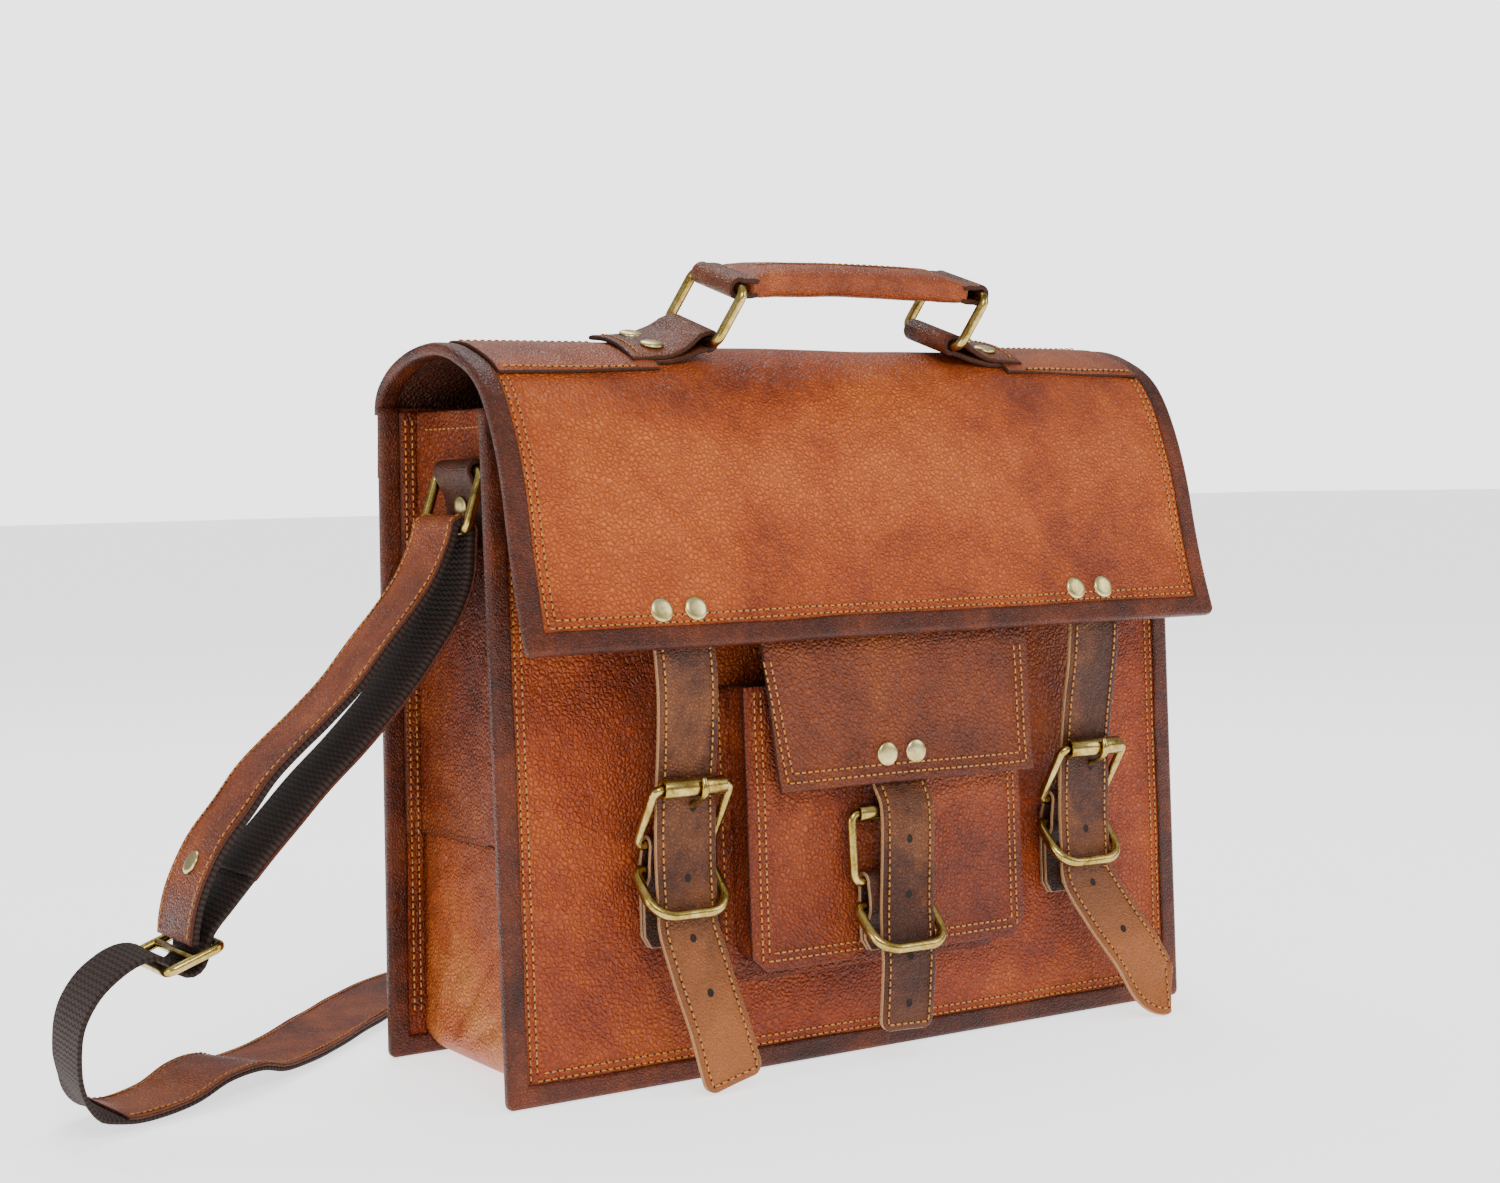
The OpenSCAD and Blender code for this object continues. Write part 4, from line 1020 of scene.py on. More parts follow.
for side in (-1, 1):
    # leather round the bar: a strip that starts under the grip, goes round and ends on top of it
    turn = np.radians(np.linspace(-118, 118, 26))
    r = bar["wire"] + 1.5
    prof = np.vstack([[-9.5, -2.6], [-6.5, -3.2], np.stack([r * np.cos(turn), r * np.sin(turn)], 1),
                      [-6.5, 3.4],
                      [-9.5, 3.0]])
    prof = curveThrough(prof, 60)
    v = stepsWithEdge(33.0, 22) - 16.5
    grid = np.stack([np.broadcast_to(side * (bar["x"] + prof[:, :1]), (60, len(v))),
                     np.broadcast_to(v[None, :], (60, len(v))),
                     np.broadcast_to(prof[:, 1:2], (60, len(v)))], -1)
    if side > 0:
        grid = grid[:, ::-1]
    loops.append(leatherSheet("loop", placed(grid, handleAt, barTurn), 2.3, tabLeather))
grip = join("carryHandle", [grip] + loops)
outward(grip)
settle(grip, "handle", "strap_leather", "handle")
print("handle ready")

# side loops and rings

sideBar = {"x": 163.2, "z": 255.0, "lean": 18.0, "drop": 25.5}
for side, label, node, ringNode in ((-1, "sideLoopLeft", "side_loop_left", "side_ring_left"),
                                    (1, "sideLoopRight", "side_loop_right", "side_ring_right")):
    r = bar["wire"] + 1.5
    turn = np.radians(np.linspace(200, -40, 26))
    x0 = sideBar["x"]
    prof = np.vstack([[x0 - 5.6, 222], [x0 - 4.6, 236], [x0 - 3.9, 247],
                      np.stack([x0 + r * np.cos(turn), sideBar["z"] + r * np.sin(turn)], 1),
                      [x0 + 1.2, 249.2], [x0 - 1.0, 245], [x0 - 1.9, 240], [x0 - 2.5, 231], [x0 - 2.7, 222]])
    prof = curveThrough(prof, 90)
    v = stepsWithEdge(33.0, 22) - 16.5
    grid = np.stack([np.broadcast_to(side * prof[:, :1], (90, len(v))),
                     np.broadcast_to(v[None, :], (90, len(v))),
                     np.broadcast_to(prof[:, 1:2], (90, len(v)))], -1)
    piece = leatherSheet(label, grid if side > 0 else grid[:, ::-1], 2.3, darkLeather)
    outward(piece)
    settle(piece, "body", "strap_leather", node)
    turnM = turnY(180 - sideBar["lean"] if side > 0 else 180 + sideBar["lean"]) @ turnZ(90)
    loop = placed(roundedLoop(bar["width"], sideBar["drop"], 4.2, 4.2), (side * x0, 0, sideBar["z"]), turnM)
    ringPiece("sideRingLeft" if side < 0 else "sideRingRight", loop, bar["wire"], ringNode)

# buckles, keeper rings and their leather tabs

heel, pivot = (8.0, 101.0), (6.0, 91.0)
pocketHeel, pocketPivot = (25.0, 77.5), (25.2, 67.5)
buckle = {"wire": 2.0, "width": 36.0, "length": 29.0, "keeper": 24.0}


def tabPiece(name, x, h, v, face, end, node):
    # a leather strip that runs up the bag, round the heel bar and back down, holding the ring's bar between
    r = buckle["wire"] + 1.35
    turn = np.radians(np.linspace(190, -15, 22))
    prof = np.vstack([[face + 1.5, end], [face + 1.6, v[1] - 12], [v[0] - 3.75, v[1] - 3],
                      [v[0] - 3.75, v[1] + 2],
                      np.stack([h[0] + r * np.cos(turn), h[1] + r * np.sin(turn)], 1),
                      [v[0] + 3.95, v[1] + 2], [v[0] + 3.3, v[1] - 3.5], [face + 5.0, v[1] - 9.5],
                      [face + 4.3, v[1] - 16], [face + 4.2, end]])
    prof = curveThrough(prof, 110)
    v2 = stepsWithEdge(27.0, 20) - 13.5
    fromEnd = np.minimum(alongOf(prof), alongOf(prof)[::-1].max() - alongOf(prof))
    narrow = np.clip(1 - 0.22 * (1 - np.clip(fromEnd / 5.0, 0, 1)), 0, 1)[:, None]
    grid = onFront(x + v2[None, :] * narrow, prof[:, :1] + 0 * v2[None, :], prof[:, 1:2] + 0 * v2[None, :])
    piece = leatherSheet(name, grid, 2.3, chapeLeather)
    outward(piece)
    settle(piece, "body", "strap_leather", node)


def bucklePieces(side, x, h, v, out, keeperOut, rollerR):
    # a buckle's frame and its keeper, each a rounded loop turned about its own bar
    loop = placed(roundedLoop(buckle["width"], buckle["length"], 4.0, 3.4), (x, -h[0], h[1]), turnX(out))
    ringPiece("buckle" + side, placed(loop, (0, frontY, 0), frontTurn), buckle["wire"],
              "buckle_" + side.lower())
    loop = placed(roundedLoop(buckle["width"], buckle["keeper"], 4.0, 10.5, 12) * np.array([1, 1, -1]),
                  (x, -v[0], v[1]), turnX(-keeperOut))
    ringPiece("keeper" + side, placed(loop, (0, frontY, 0), frontTurn), bar["wire"], "keeper_" + side.lower())
    # roller: a tube rolled from sheet, its wall turned round the bar
    prof = np.array([[-0.9, -14.4], [-0.8, -14.5], [-0.15, -14.5], [0.0, -14.3], [0.0, 14.3], [-0.15, 14.5],
                     [-0.8, 14.5], [-0.9, 14.4]])
    prof = prof + np.array([rollerR, 0])
    ang = np.linspace(0, 2 * math.pi, 36, endpoint=False)
    seamDip = 1 - 0.05 * np.exp(-((ang - math.pi * 1.2) / 0.06) ** 2)
    tube = np.stack([np.broadcast_to(prof[:, 1:2], (8, 36)), prof[:, :1] * np.cos(ang)[None, :] * seamDip,
                     prof[:, :1] * np.sin(ang)[None, :] * seamDip], -1)
    tube = placed(tube + np.array([0, 0, buckle["length"]]), (x, -h[0], h[1]), turnX(out))
    piece = newMesh("roller" + side, placed(tube, (0, frontY, 0), frontTurn).reshape(-1, 3),
                    gridQuads(8, 36, True, True), brass)
    outward(piece)
    settle(piece, "roller_" + side.lower(), "antique_brass", "roller_" + side.lower())


def tonguePiece(side, x, h, points):
    # a flat pin: an eye bent round the heel bar, then the shank up to its tip
    turn = np.radians(np.linspace(-150, 60, 18))
    eye = np.stack([0 * turn, -3.1 * np.sin(turn), 3.1 * np.cos(turn)], 1)
    path = curveThrough(np.vstack([eye, points]), 60)
    wide = np.interp(np.linspace(0, 1, 60), [0, 0.3, 0.9, 1.0], [1.0, 1.15, 1.0, 0.75])
    piece = rod("tongue" + side, placed(path + np.array([x, -h[0], h[1]]), (0, frontY, 0), frontTurn),
                0.95 * wide,
                brass, False, 14,
                1.75, (1, 0, 0))
    outward(piece)
    settle(piece, "tongue_" + side.lower(), "antique_brass", "tongue_" + side.lower())


for side, x, node in (("Left", -101.5, "chape_left"), ("Right", 109.5, "chape_right")):
    tabPiece("chape" + side, x, heel, pivot, 0.0, 58.0, node)
    bucklePieces(side, x, heel, pivot, 35.0, 42.0, 4.0)
    tonguePiece(side, x + 3.0, heel,
                [[0, -5.5, 7], [0, -8.6, 13], [0, -12.2, 16.2], [0, -17.5, 18.2], [0, -21.2, 20.8],
                 [0, -21.9, 24.2],
                 [0, -20.8, 27.4]])
tabPiece("chapePocket", -6.0, pocketHeel, pocketPivot, 20.0, 48.0, "pocket_chape")
bucklePieces("Pocket", -6.0, pocketHeel, pocketPivot, -2.0, 46.0, 3.6)
tonguePiece("Pocket", -6.0, pocketHeel, [[0, 0.6, 6.5], [0, 2.2, 12], [0, 2.8, 18.6]])
print("buckles ready")

# pocket

pocket = {"half": 71.6, "low": 44.0, "top": 163.0, "face": 18.75, "thick": 2.5}


def pocketFace(x, z):
    # the pocket's front: a plane with a soft swell in its middle, drawn in at its sewn edges
    u, v = x / pocket["half"], (z - pocket["low"]) / (pocket["top"] - pocket["low"])
    out = pocket["face"] + 0.9 * (1 - u ** 2) * np.sin(np.clip(v, 0, 1) * math.pi)
    out = out - 0.9 * np.exp(-((1 - np.abs(u)) / 0.05))
    return onFront(x, out - 0.9 + 0.3 * wobble(x, z, 30, 6.0), z)


x = stepsWithEdge(pocket["half"] * 2, 60) - pocket["half"]
z = pocket["low"] + stepsWithEdge(pocket["top"] - pocket["low"], 56)
cut = 6.0 * np.clip((np.abs(x) - (pocket["half"] - 6)) / 6, 0, 1)
zz = pocket["top"] - (pocket["top"] - z[:, None]) * (1 - cut[None, :] / (pocket["top"] - pocket["low"]))
mid = pocketFace(x[None, :] + 0 * zz, zz)
piece = leatherSheet("pocketFront", mid, pocket["thick"], pocketLeather)
outward(piece)
settle(piece, "body", "panel_leather", "pocket_front")

# pocket gusset: a wall round three sides, its margin turned out on the panel
r = 10.0
hw, zl = 69.0, 47.0
arc = np.radians(np.linspace(180, 270, 12))
px = np.concatenate([np.full(30, -hw), -hw + r + r * np.cos(arc)[1:-1], np.linspace(-hw + r, hw - r, 40),
                     hw - r - r * np.cos(arc)[::-1][1:-1], np.full(30, hw)])
pz = np.concatenate([np.linspace(163, zl + r, 30), zl + r + r * np.sin(arc)[1:-1], np.full(40, zl),
                     zl + r + r * np.sin(arc)[::-1][1:-1], np.linspace(zl + r, 163, 30)])
t2 = unit(np.gradient(np.stack([px, pz], 1), axis=0))
nx, nz = t2[:, 1], -t2[:, 0]
sign = np.where((nx * px + nz * (pz - 110)) < 0, -1.0, 1.0)
nx, nz = nx * sign, nz * sign
outs = np.concatenate([np.full(10, 1.5), np.linspace(1.5, 17.2, 22)[1:]])
sideways = np.concatenate([np.linspace(9.0, 0.0, 10), np.zeros(21)])
sag = np.concatenate([np.zeros(10), -1.6 * np.sin(np.linspace(0, math.pi, 22)[1:])])
grid = onFront(px[:, None] + nx[:, None] * (sideways + sag)[None, :], outs[None, :] + 0 * px[:, None],
               pz[:, None] + nz[:, None] * (sideways + sag)[None, :])
piece = leatherSheet("pocketGusset", grid, 2.2, pocketLeather)
outward(piece)
settle(piece, "body", "gusset_leather", "pocket_gusset")

flapX = (-61.5, 71.5)
pocketTopLine = curveThrough([[1.8, 199], [1.8, 192], [4.5, 187.6], [11, 186.4], [17, 186.2], [20.4, 185.9]],
                             50)
pocketFlapLine = curveThrough([[20.4, 185.9], [22.6, 184.6], [24.2, 181.8], [25.5, 176], [26.3, 160],
                               [26.6, 140],
                               [27, 130], [28, 118.5]], 90)
x = flapX[0] + stepsWithEdge(flapX[1] - flapX[0], 50)


def pocketFlapGrid(line):
    # the line in out and up, carried across, its lower edge a little uneven and the corners dipped
    low = np.clip((150 - line[:, 1:2]) / 32, 0, 1)
    out = line[:, :1] + low * (0.5 * wobble(x[None, :], 0 * x[None, :], 30, 1.0))
    wide = 6.0 * np.clip((line[:, 1:2] - 118.5) / 68, 0, 1) * (flapX[1] - x[None, :]) / (flapX[1] - flapX[0])
    return onFront(x[None, :] - wide, out,
                   line[:, 1:2] + low * 0.6 * wobble(x[None, :], 0 * x[None, :], 45, 3.0))


piece = leatherSheet("pocketFlap", pocketFlapGrid(np.vstack([pocketTopLine[:-1], pocketFlapLine])), 2.4,
                     pocketFlapLeather)
outward(piece)
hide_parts("pocket_flap", "pocket_flap_top")
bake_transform(piece)
print("pocket ready")

# closing straps


def strapGrid(route, width, count, tip=5.0, cup=0.25, across=18):
    # a flat strap: its middle line carried across by its width, the tip narrowed, the face slightly cupped
    total = lengthOf(curveThrough(route, 400))
    s = stepsWithEdge(total, count)
    path = curveThrough(route, at=s)
    t = tangentOf(path)
    side = unit(np.array([1.0, 0, 0]) - t * t[:, :1])
    normal = np.cross(side, t)
    half = width / 2 - tip * (1
                              - np.sqrt(np.clip(1 - (1 - np.clip((total - s) / max(tip, 0.1), 0, 1)) ** 2, 0,
                                                1)))
    half = half + 0.22 * wobble(s, 0 * s, 17, 1.0)
    v = stepsWithEdge(1.0, across, closeEdge) * 2 - 1
    lift = (cup + 0.3 * wobble(s, 0 * s, 15, 3.0))[:, None] * (v ** 2)[None, :]
    grid = path[:, None] + side[:, None] * (v[None, :] * half[:, None])[..., None] + normal[:,
                                                                                            None] * lift[..., None]
    return grid, path, side, normal, s, half


def strapRoute(x0, x1, x2, x3, x4, tipUp):
    # a closing strap's way from under the flap, through its buckle and keeper, to its tip
    return np.vstack([onFront(*p) for p in (
        (x0, 20.9, 207), (x0, 23, 198), (x0, 25, 189.5), (x0, 26.2, 181), ((x0 + x1) / 2, 25.4, 166),
        (x1, 21.8, 144),
        (x1, 19, 126), (x1, 17.6, 113), (x1, 16.8, 101), (x1, 16.6, 91), (x1, 16.8, 82), (x1, 17, 74),
        (x1 * 0.98 + x2 * 0.02, 17.6, 66), (x2, 20, 50), (x3, 23.4, 30), ((x3 + x4) / 2, 25.6, 15),
        (x4, 26.6, tipUp))])


def punched(name, spots, radius, body):
    # strap holes: a dark dished disc with a pressed rim
    allV, allF = [], []
    ang = np.linspace(0, 2 * math.pi, 18, endpoint=False)
    prof = np.array([[0.001, 0.02], [0.8, 0.03], [1.0, 0.1], [1.3, 0.16], [1.55, 0.02], [1.6, -0.5],
                     [0.001, -0.5]])
    for i, (at, out, lengthways) in enumerate(spots):
        n = unit(np.asarray(out, float))
        a = unit(lengthways - n * np.dot(lengthways, n))
        b = np.cross(n, a)
        v = (np.asarray(at) + prof[:, None, :1] * radius
             * (np.cos(ang)[None, :, None] * a * 1.25 + np.sin(ang)[None, :, None] * b)
             + prof[:, None, 1:2] * n)
        allV.append(v.reshape(-1, 3))
        allF.append(gridQuads(len(prof), 18, False, True) + i * len(prof) * 18)
    piece = newMesh(name, np.vstack(allV), np.vstack(allF), holeDark)
    outward(piece)
    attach(piece, body)


flapRows, bodyRows, pocketFlapRows = [], [], []
stitchInset = 3.0


def faceOut(normal, toward):
    # the normals, turned over when they point away from where the face looks
    return normal if float((normal.mean(0) * np.asarray(toward)).sum()) > 0 else -normal


for side, places in (("Left", (-104, -101.5, -98, -93.5, -87.5, 2.6)),
                     ("Right", (111, 109.5, 119, 132, 149.5, 11.2))):
    route = strapRoute(*places)
    grid, path, sideV, normal, s, half = strapGrid(route, 28.0, 150)
    piece = leatherSheet("closingStrap" + side, grid, 2.8, strapLeather)
    outward(piece)
    settle(piece, "flap", "strap_leather", "strap_" + side.lower())
    out = faceOut(normal, (0, -1, 0))
    keep = s > 14
    flapRows += [stitchRow((path + sideV * e * (np.maximum(half - stitchInset, 1))[:, None] + out
                            * 1.42)[keep][:-4],
                           out[keep][:-4]) for e in (-1, 1)]
    tipRow = [path[-5] + sideV[-5] * e * (half[-5] - stitchInset) + out[-5] * 1.42
              for e in np.linspace(-1, 1, 8)]
    flapRows.append(stitchRow(np.array(tipRow), out[-5]))
    spots = []
    for up in (116.0, 88.0, 63.0, 41.0):
        i = int(np.argmin(np.abs(path[:, 2] - up)))
        spots.append((path[i] + out[i] * 1.42 + np.array([3.0 if up > 100 else 0.0, 0, 0]), out[i],
                      unit(np.gradient(path, axis=0))[i]))
    punched("strapHoles" + side, spots, 0.95, "flap")

pocketRoute = np.vstack([onFront(*p) for p in (
    (0.5, 22.6, 150), (0.5, 22.8, 140), (0.5, 23.1, 131), (1, 24.4, 119.5), (1, 29, 111.5), (0.5, 30.8, 105),
    (-0.5, 31.8, 92), (-1.5, 32.2, 80), (-3, 33.4, 69), (-5, 35.8, 58), (-6, 37.2, 51), (-6.2, 37.6, 44),
    (-6.8, 36.8, 30), (-7.5, 35.5, 15))])
grid, path, sideV, normal, s, half = strapGrid(pocketRoute, 27.0, 110)
piece = leatherSheet("pocketStrap", grid, 2.6, strapLeather)
outward(piece)
settle(piece, "pocket_flap", "strap_leather", "pocket_strap")
out = faceOut(normal, (0, -1, 0))
keep = s > 32
pocketFlapRows += [stitchRow((path + sideV * e * np.maximum(half - stitchInset, 1)[:, None] + out
                              * 1.32)[keep][:-4],
                             out[keep][:-4]) for e in (-1, 1)]
pocketFlapRows.append(stitchRow(np.array([path[-5] + sideV[-5] * e * (half[-5] - stitchInset) + out[-5] * 1.32
                                          for e in np.linspace(-1, 1, 8)]), out[-5]))
spots = []
for up in (95.0, 72.0, 47.0, 28.0):
    i = int(np.argmin(np.abs(path[:, 2] - up)))
    spots.append((path[i] + out[i] * 1.32, out[i], unit(np.gradient(path, axis=0))[i]))
punched("pocketStrapHoles", spots, 0.95, "pocket_flap")
print("closing straps ready")

# shoulder strap: webbing all the way, leather sewn to one face of it

shoulder = {"width": 38.0, "leather": 1.4, "seam": 16.2, "bareWebbing": 150.0}
sideLean = math.radians(sideBar["lean"])
sideLow = (sideBar["x"] + sideBar["drop"] * math.sin(sideLean),
           sideBar["z"] - sideBar["drop"] * math.cos(sideLean))
wrapR = bar["wire"] + 0.3 + 1.4
outerRun = [[-289.6, 74.4], [-288.6, 82], [-286, 92], [-281, 103], [-275, 113], [-266, 124], [-256, 136],
            [-244, 147], [-232, 157], [-219, 169], [-206, 184], [-194, 198], [-184.5, 210], [-178.4, 221],
            [-sideLow[0] - wrapR, sideLow[1] - 1]]
innerRun = [[-sideLow[0] + wrapR, sideLow[1] - 1], [-167.6, 222], [-168.6, 211], [-173.5, 199],
            [-182, 186], [-192, 173], [-203.8, 160], [-217, 147], [-231, 134], [-242.5, 122.5], [-255, 110],
            [-266, 98.2]]
wrapTurn = np.radians(np.linspace(170, 10, 9))
wrapPts = np.stack([-sideLow[0] + wrapR * np.cos(wrapTurn), sideLow[1] + wrapR * np.sin(wrapTurn)], 1)
runPts = np.vstack([outerRun, wrapPts, innerRun])
runRoute = np.stack([runPts[:, 0], 0 * runPts[:, 0], runPts[:, 1]], 1)
# points chosen along the strap's way, and the way its width lies at each of them
tailPoints = [
    [-263.4, 0, 99.4], [-268.0, 0, 94.6], [-274.8, 0, 87.2], [-281.8, 0, 79.4], [-284.4, 0, 73.6],
    [-285.6, 0, 67.4], [-289.6, 0, 63.4], [-294.8, 0, 63.8], [-297.6, 0, 67.4], [-302.4, 0, 70.6],
    [-309, 0, 71], [-317, 1, 67.4], [-325, 3, 60], [-330.6, 6, 49], [-332, 9, 37], [-330, 13, 24],
    [-324, 18, 13], [-314, 23, 6], [-301, 29, 3.4], [-284, 36, 4.6], [-268, 44, 9.2], [-252, 53, 9.6],
    [-236, 65, 4.6], [-205, 92, 3.6], [-180, 116, 4.2], [-150, 146, 4.4], [-118, 174, 4.2], [-80, 192, 4],
    [-35, 202, 3.4], [15, 203, 3], [65, 195, 3], [110, 178, 3], [150, 150, 3], [180, 114, 3.4],
    [198, 74, 5], [205, 42, 12], [205, 20, 30], [199, 7, 60], [190, 2, 100], [182, 0, 145], [177.6, 0, 186]]
tailSides = [[0, 1, 0]] * 12 + [
    [0.02, 1, 0], [0.03, 1, 0], [0.04, 1, 0], [0.06, 1, 0], [0.1, 1, 0], [-0.1, 1, 0], [-0.3, 1, 0.0],
    [-0.35, 1, 0.01], [-0.4, 0.9, 0.02], [-0.5, 0.8, 0.03], [-0.6, 0.7, 0.03], [-0.65, 0.65, 0.03],
    [-0.65, 0.65, 0.04], [-0.6, 0.7, 0.05], [-0.5, 0.8, 0.05], [-0.3, 0.9, 0.03], [-0.1, 1, 0.01],
    [0.05, 1, 0], [0.2, 1, 0], [0.4, 0.9, 0], [0.7, 0.7, 0], [0.9, 0.4, 0], [1, 0.2, 0], [1, 0.15, 0.1],
    [0.8, 0.7, 0.1], [0.3, 1, 0], [0.05, 1, 0], [0, 1, 0], [0, 1, 0]]


def ribbon(name, route, width, offset, thick, material, count, sideRef, s0=0.0):
    # a band along part of a route, moved off it along its own face direction
    total = lengthOf(curveThrough(route, 1200))
    s = s0 + stepsWithEdge(total - s0, count)
    path = curveThrough(route, at=s)
    t = tangentOf(path)
    ref = np.asarray(sideRef, float)
    if ref.ndim == 2:
        knots = alongOf(np.asarray(route, float))
        knots = knots / knots[-1] * total
        ref = np.stack([np.interp(s, knots, ref[:, c]) for c in range(3)], 1)
    side = unit(ref - t * (ref * t).sum(1, keepdims=True))
    normal = np.cross(side, t)
    v = stepsWithEdge(width, 16) - width / 2
    wave = 0.35 * wobble(s, 0 * s, 19, 2.0)[:, None] * np.abs(v[None, :] / width * 2) ** 2
    grid = (path + normal * offset)[:, None] + side[:, None] * v[None, :, None] + normal[:, None] * wave[...,
                                                                                                         None]
    # nothing goes through the ground
    grid[..., 2] = np.maximum(grid[..., 2], 1.1 + abs(offset))
    piece = leatherSheet(name, grid, thick, material)
    outward(piece)
    return piece, path + normal * offset, side, normal


def sewnOn(route, depth, count, sideRef, s0=0.0):
    # leather on the upper face of the webbing, depth away from its middle, with a seam beside each edge
    leather, path, side, normal = ribbon("sewnLeather", route, shoulder["width"], -depth, shoulder["leather"],
                                         shoulderLeather, count, sideRef, s0)
    rows = [stitchRow((path + side * e * shoulder["seam"] - normal * 0.72)[3:-3], -normal[3:-3])
            for e in (-1, 1)]
    return [leather, stitches("strapSeams", rows, None)]


runLen = lengthOf(curveThrough(runRoute, 1200))
tailLen = lengthOf(curveThrough(tailPoints, 1200))
runWeb, *_ = ribbon("webbingRun", runRoute, shoulder["width"], 0.4, 3.0, webbing, 240, (0, 1, 0))
run = join("shoulderStrapRun", [runWeb] + sewnOn(runRoute, 1.7, 220, (0, 1, 0)))
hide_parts("shoulder_strap_run")
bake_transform(run)

tailWeb, *_ = ribbon("webbingTail", tailPoints, 37.6, 0.0, 2.0, webbing, 380, tailSides)
tail = join("shoulderStrapTail", [tailWeb] + sewnOn(tailPoints, 1.6, 330, tailSides, shoulder["bareWebbing"]))
settle(tail, "body", "webbing", "shoulder_strap_tail")

turn = np.radians(np.linspace(-60, 200, 22))
endPts = np.vstack([[180.4, 187], [177.6, 205], [175.6, 220],
                    np.stack([sideLow[0] + 4.0 * np.cos(turn), sideLow[1] + 4.0 * np.sin(turn)], 1),
                    [169.6, 222], [172.0, 206], [175.2, 192], [176.4, 187]])
endPts = np.stack([endPts[:, 0], 0 * endPts[:, 0], endPts[:, 1]], 1)
endPiece, *_ = ribbon("shoulderStrapEnd", endPts, 37.0, 0.0, 2.2, shoulderLeather, 110, (0, 1, 0))
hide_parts("shoulder_strap_end")
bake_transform(endPiece)

# slider: a rounded frame with a middle bar
sl = placed(placed(roundedLoop(44, 23, 3.5, 3.5), (-11.5, 0, 0), turnY(90) @ turnZ(90)), (-291, 0, 70),
            turnY(-20))
frameRod = rod("sliderFrame", sl, 2.0, brass, True)
barRod = rod("sliderBar", np.array([[-291, -22.4, 70], [-291, 0, 70], [-291, 22.4, 70]]), 1.75, brass)
collar = placed(np.array([[11.5, -2.2, 0], [11.5, 0, 0], [11.5, 2.2, 0]]), (-291, 0, 70), turnY(-20))
collarRod = rod("sliderCollar", collar, 2.55, brass)
piece = join("strapSlider", [frameRod, barRod, collarRod])
outward(piece)
settle(piece, "slider", "antique_brass", "slider")
print("shoulder strap ready, run", round(runLen), "tail", round(tailLen), "mm")

# rivets

outFront = onFront(0, 1, 0) - onFront(0, 0, 0)
capRadius = 5.2
spots = [((e * 163.2, 0, 239.6), (e, 0, -0.1)) for e in (-1, 1)]
spots += [(onFront(x, 5.5, z), outFront) for x in (-101.5, 109.5) for z in (64, 76.2)]
spots += [(onFront(-6.0, 25.5, 53), outFront)]
domes("bodyRivets", spots, capRadius, "body", ("body_rivets",))
spots = []
for sx in (-1, 1):
    for d in (-8, 8):
        sHere = float(np.interp(-197.7, -flapFine[flapAlong > 90][:, 1], flapAlong[flapAlong > 90]))
        at = flapPoint(sHere, sx * 107.3 + d, 0.0)
        spots.append((at, normal2(np.array([sHere]))[0]))
    for d in (-9, 9):
        at = placed([[sx * 24, d, -3.1]], (sx * bar["x"], bar["y"], bar["z"]), barTurn)[0]
        spots.append((at, barTurn @ np.array([0, 0, 1.0])))
domes("flapRivets", spots, capRadius, "flap", ("flap_rivets",))
domes("pocketFlapRivets", [(onFront(xr, 28.2, 131), outFront) for xr in (-7, 8)], capRadius, "pocket_flap",
      ("pocket_flap_rivets",))
domes("strapRivets", [((-283.6, 0, 104.0), (-0.86, 0, 0.5)), ((180.0, 0, 200), (1, 0, 0.1))], 5.0, "body",
      ("shoulder_strap_rivets",))

# seams of the body, flap, pocket and handle

for back, top in ((False, panel["frontTop"]), (True, panel["backTop"])):
    for inset in (10.4, 13.4):
        w = panel["halfWidth"] + 1.2 - inset
        zTop = top - 3
        pts = np.vstack([np.stack([np.full(90, -w), np.linspace(zTop, inset, 90)], 1),
                         np.stack([np.linspace(-w, w, 120)[1:-1], np.full(118, inset)], 1),
                         np.stack([np.full(90, w), np.linspace(inset, zTop, 90)], 1)])
        surf = panelSurface(pts[:, 0], pts[:, 1], back)
        n = outFront * (np.array([1, -1, 1]) if back else 1)
        for part in (slice(0, 90), slice(90, 208), slice(208, 298)):
            bodyRows.append(stitchRow(surf[part] + n * 1.5, n))
# on the turned-out margins of the gussets, facing away from the panels
for side in (-1, 1):
    for yy in (-1, 1):
        for inset in (2.6, 5.8):
            zs = np.linspace(20, 278, 100)
            px2 = side * (gusset["x"] + gusset["flange"] - inset + 0.6)
            yh = gussetSection(zs) - 1.25
            pts = np.stack([np.full(100, px2), yy * yh, zs], 1)
            bodyRows.append(stitchRow(pts, np.array([0, -yy, 0.0])))
    top = upperMids[side]
    row = int(np.argmin(np.abs(top[:, 30, 2] - 273)))
    line = top[row, 10:-10]
    bodyRows.append(stitchRow(line + np.array([side * 1.25, 0, 0]), np.array([side, 0, 0.0])))
# pocket
for inset in (4.5, 7.6):
    w = pocket["half"] - inset
    pts = np.vstack([np.stack([np.full(50, -w), np.linspace(161, 44 + inset, 50)], 1),
                     np.stack([np.linspace(-w, w, 60)[1:-1], np.full(58, 44 + inset)], 1),
                     np.stack([np.full(50, w), np.linspace(44 + inset, 161, 50)], 1)])
    surf = pocketFace(pts[:, 0], pts[:, 1]) + outFront * 1.25
    for part in (slice(0, 50), slice(50, 108), slice(108, 158)):
        bodyRows.append(stitchRow(surf[part], outFront))
for sx in (-1, 1):
    pts = onFront(np.full(40, sx * (69 + 5.5)), 2.6, np.linspace(161, 56, 40))
    bodyRows.append(stitchRow(pts, outFront))
for low in (3.2, 6.4):
    xv = np.linspace(-165, 165, 160)
    bodyRows.append(stitchRow(flapPoint(np.full(160, low), xv, 0.0), normal2(np.full(160, low))))
stitches("bodySeams", bodyRows, "body")

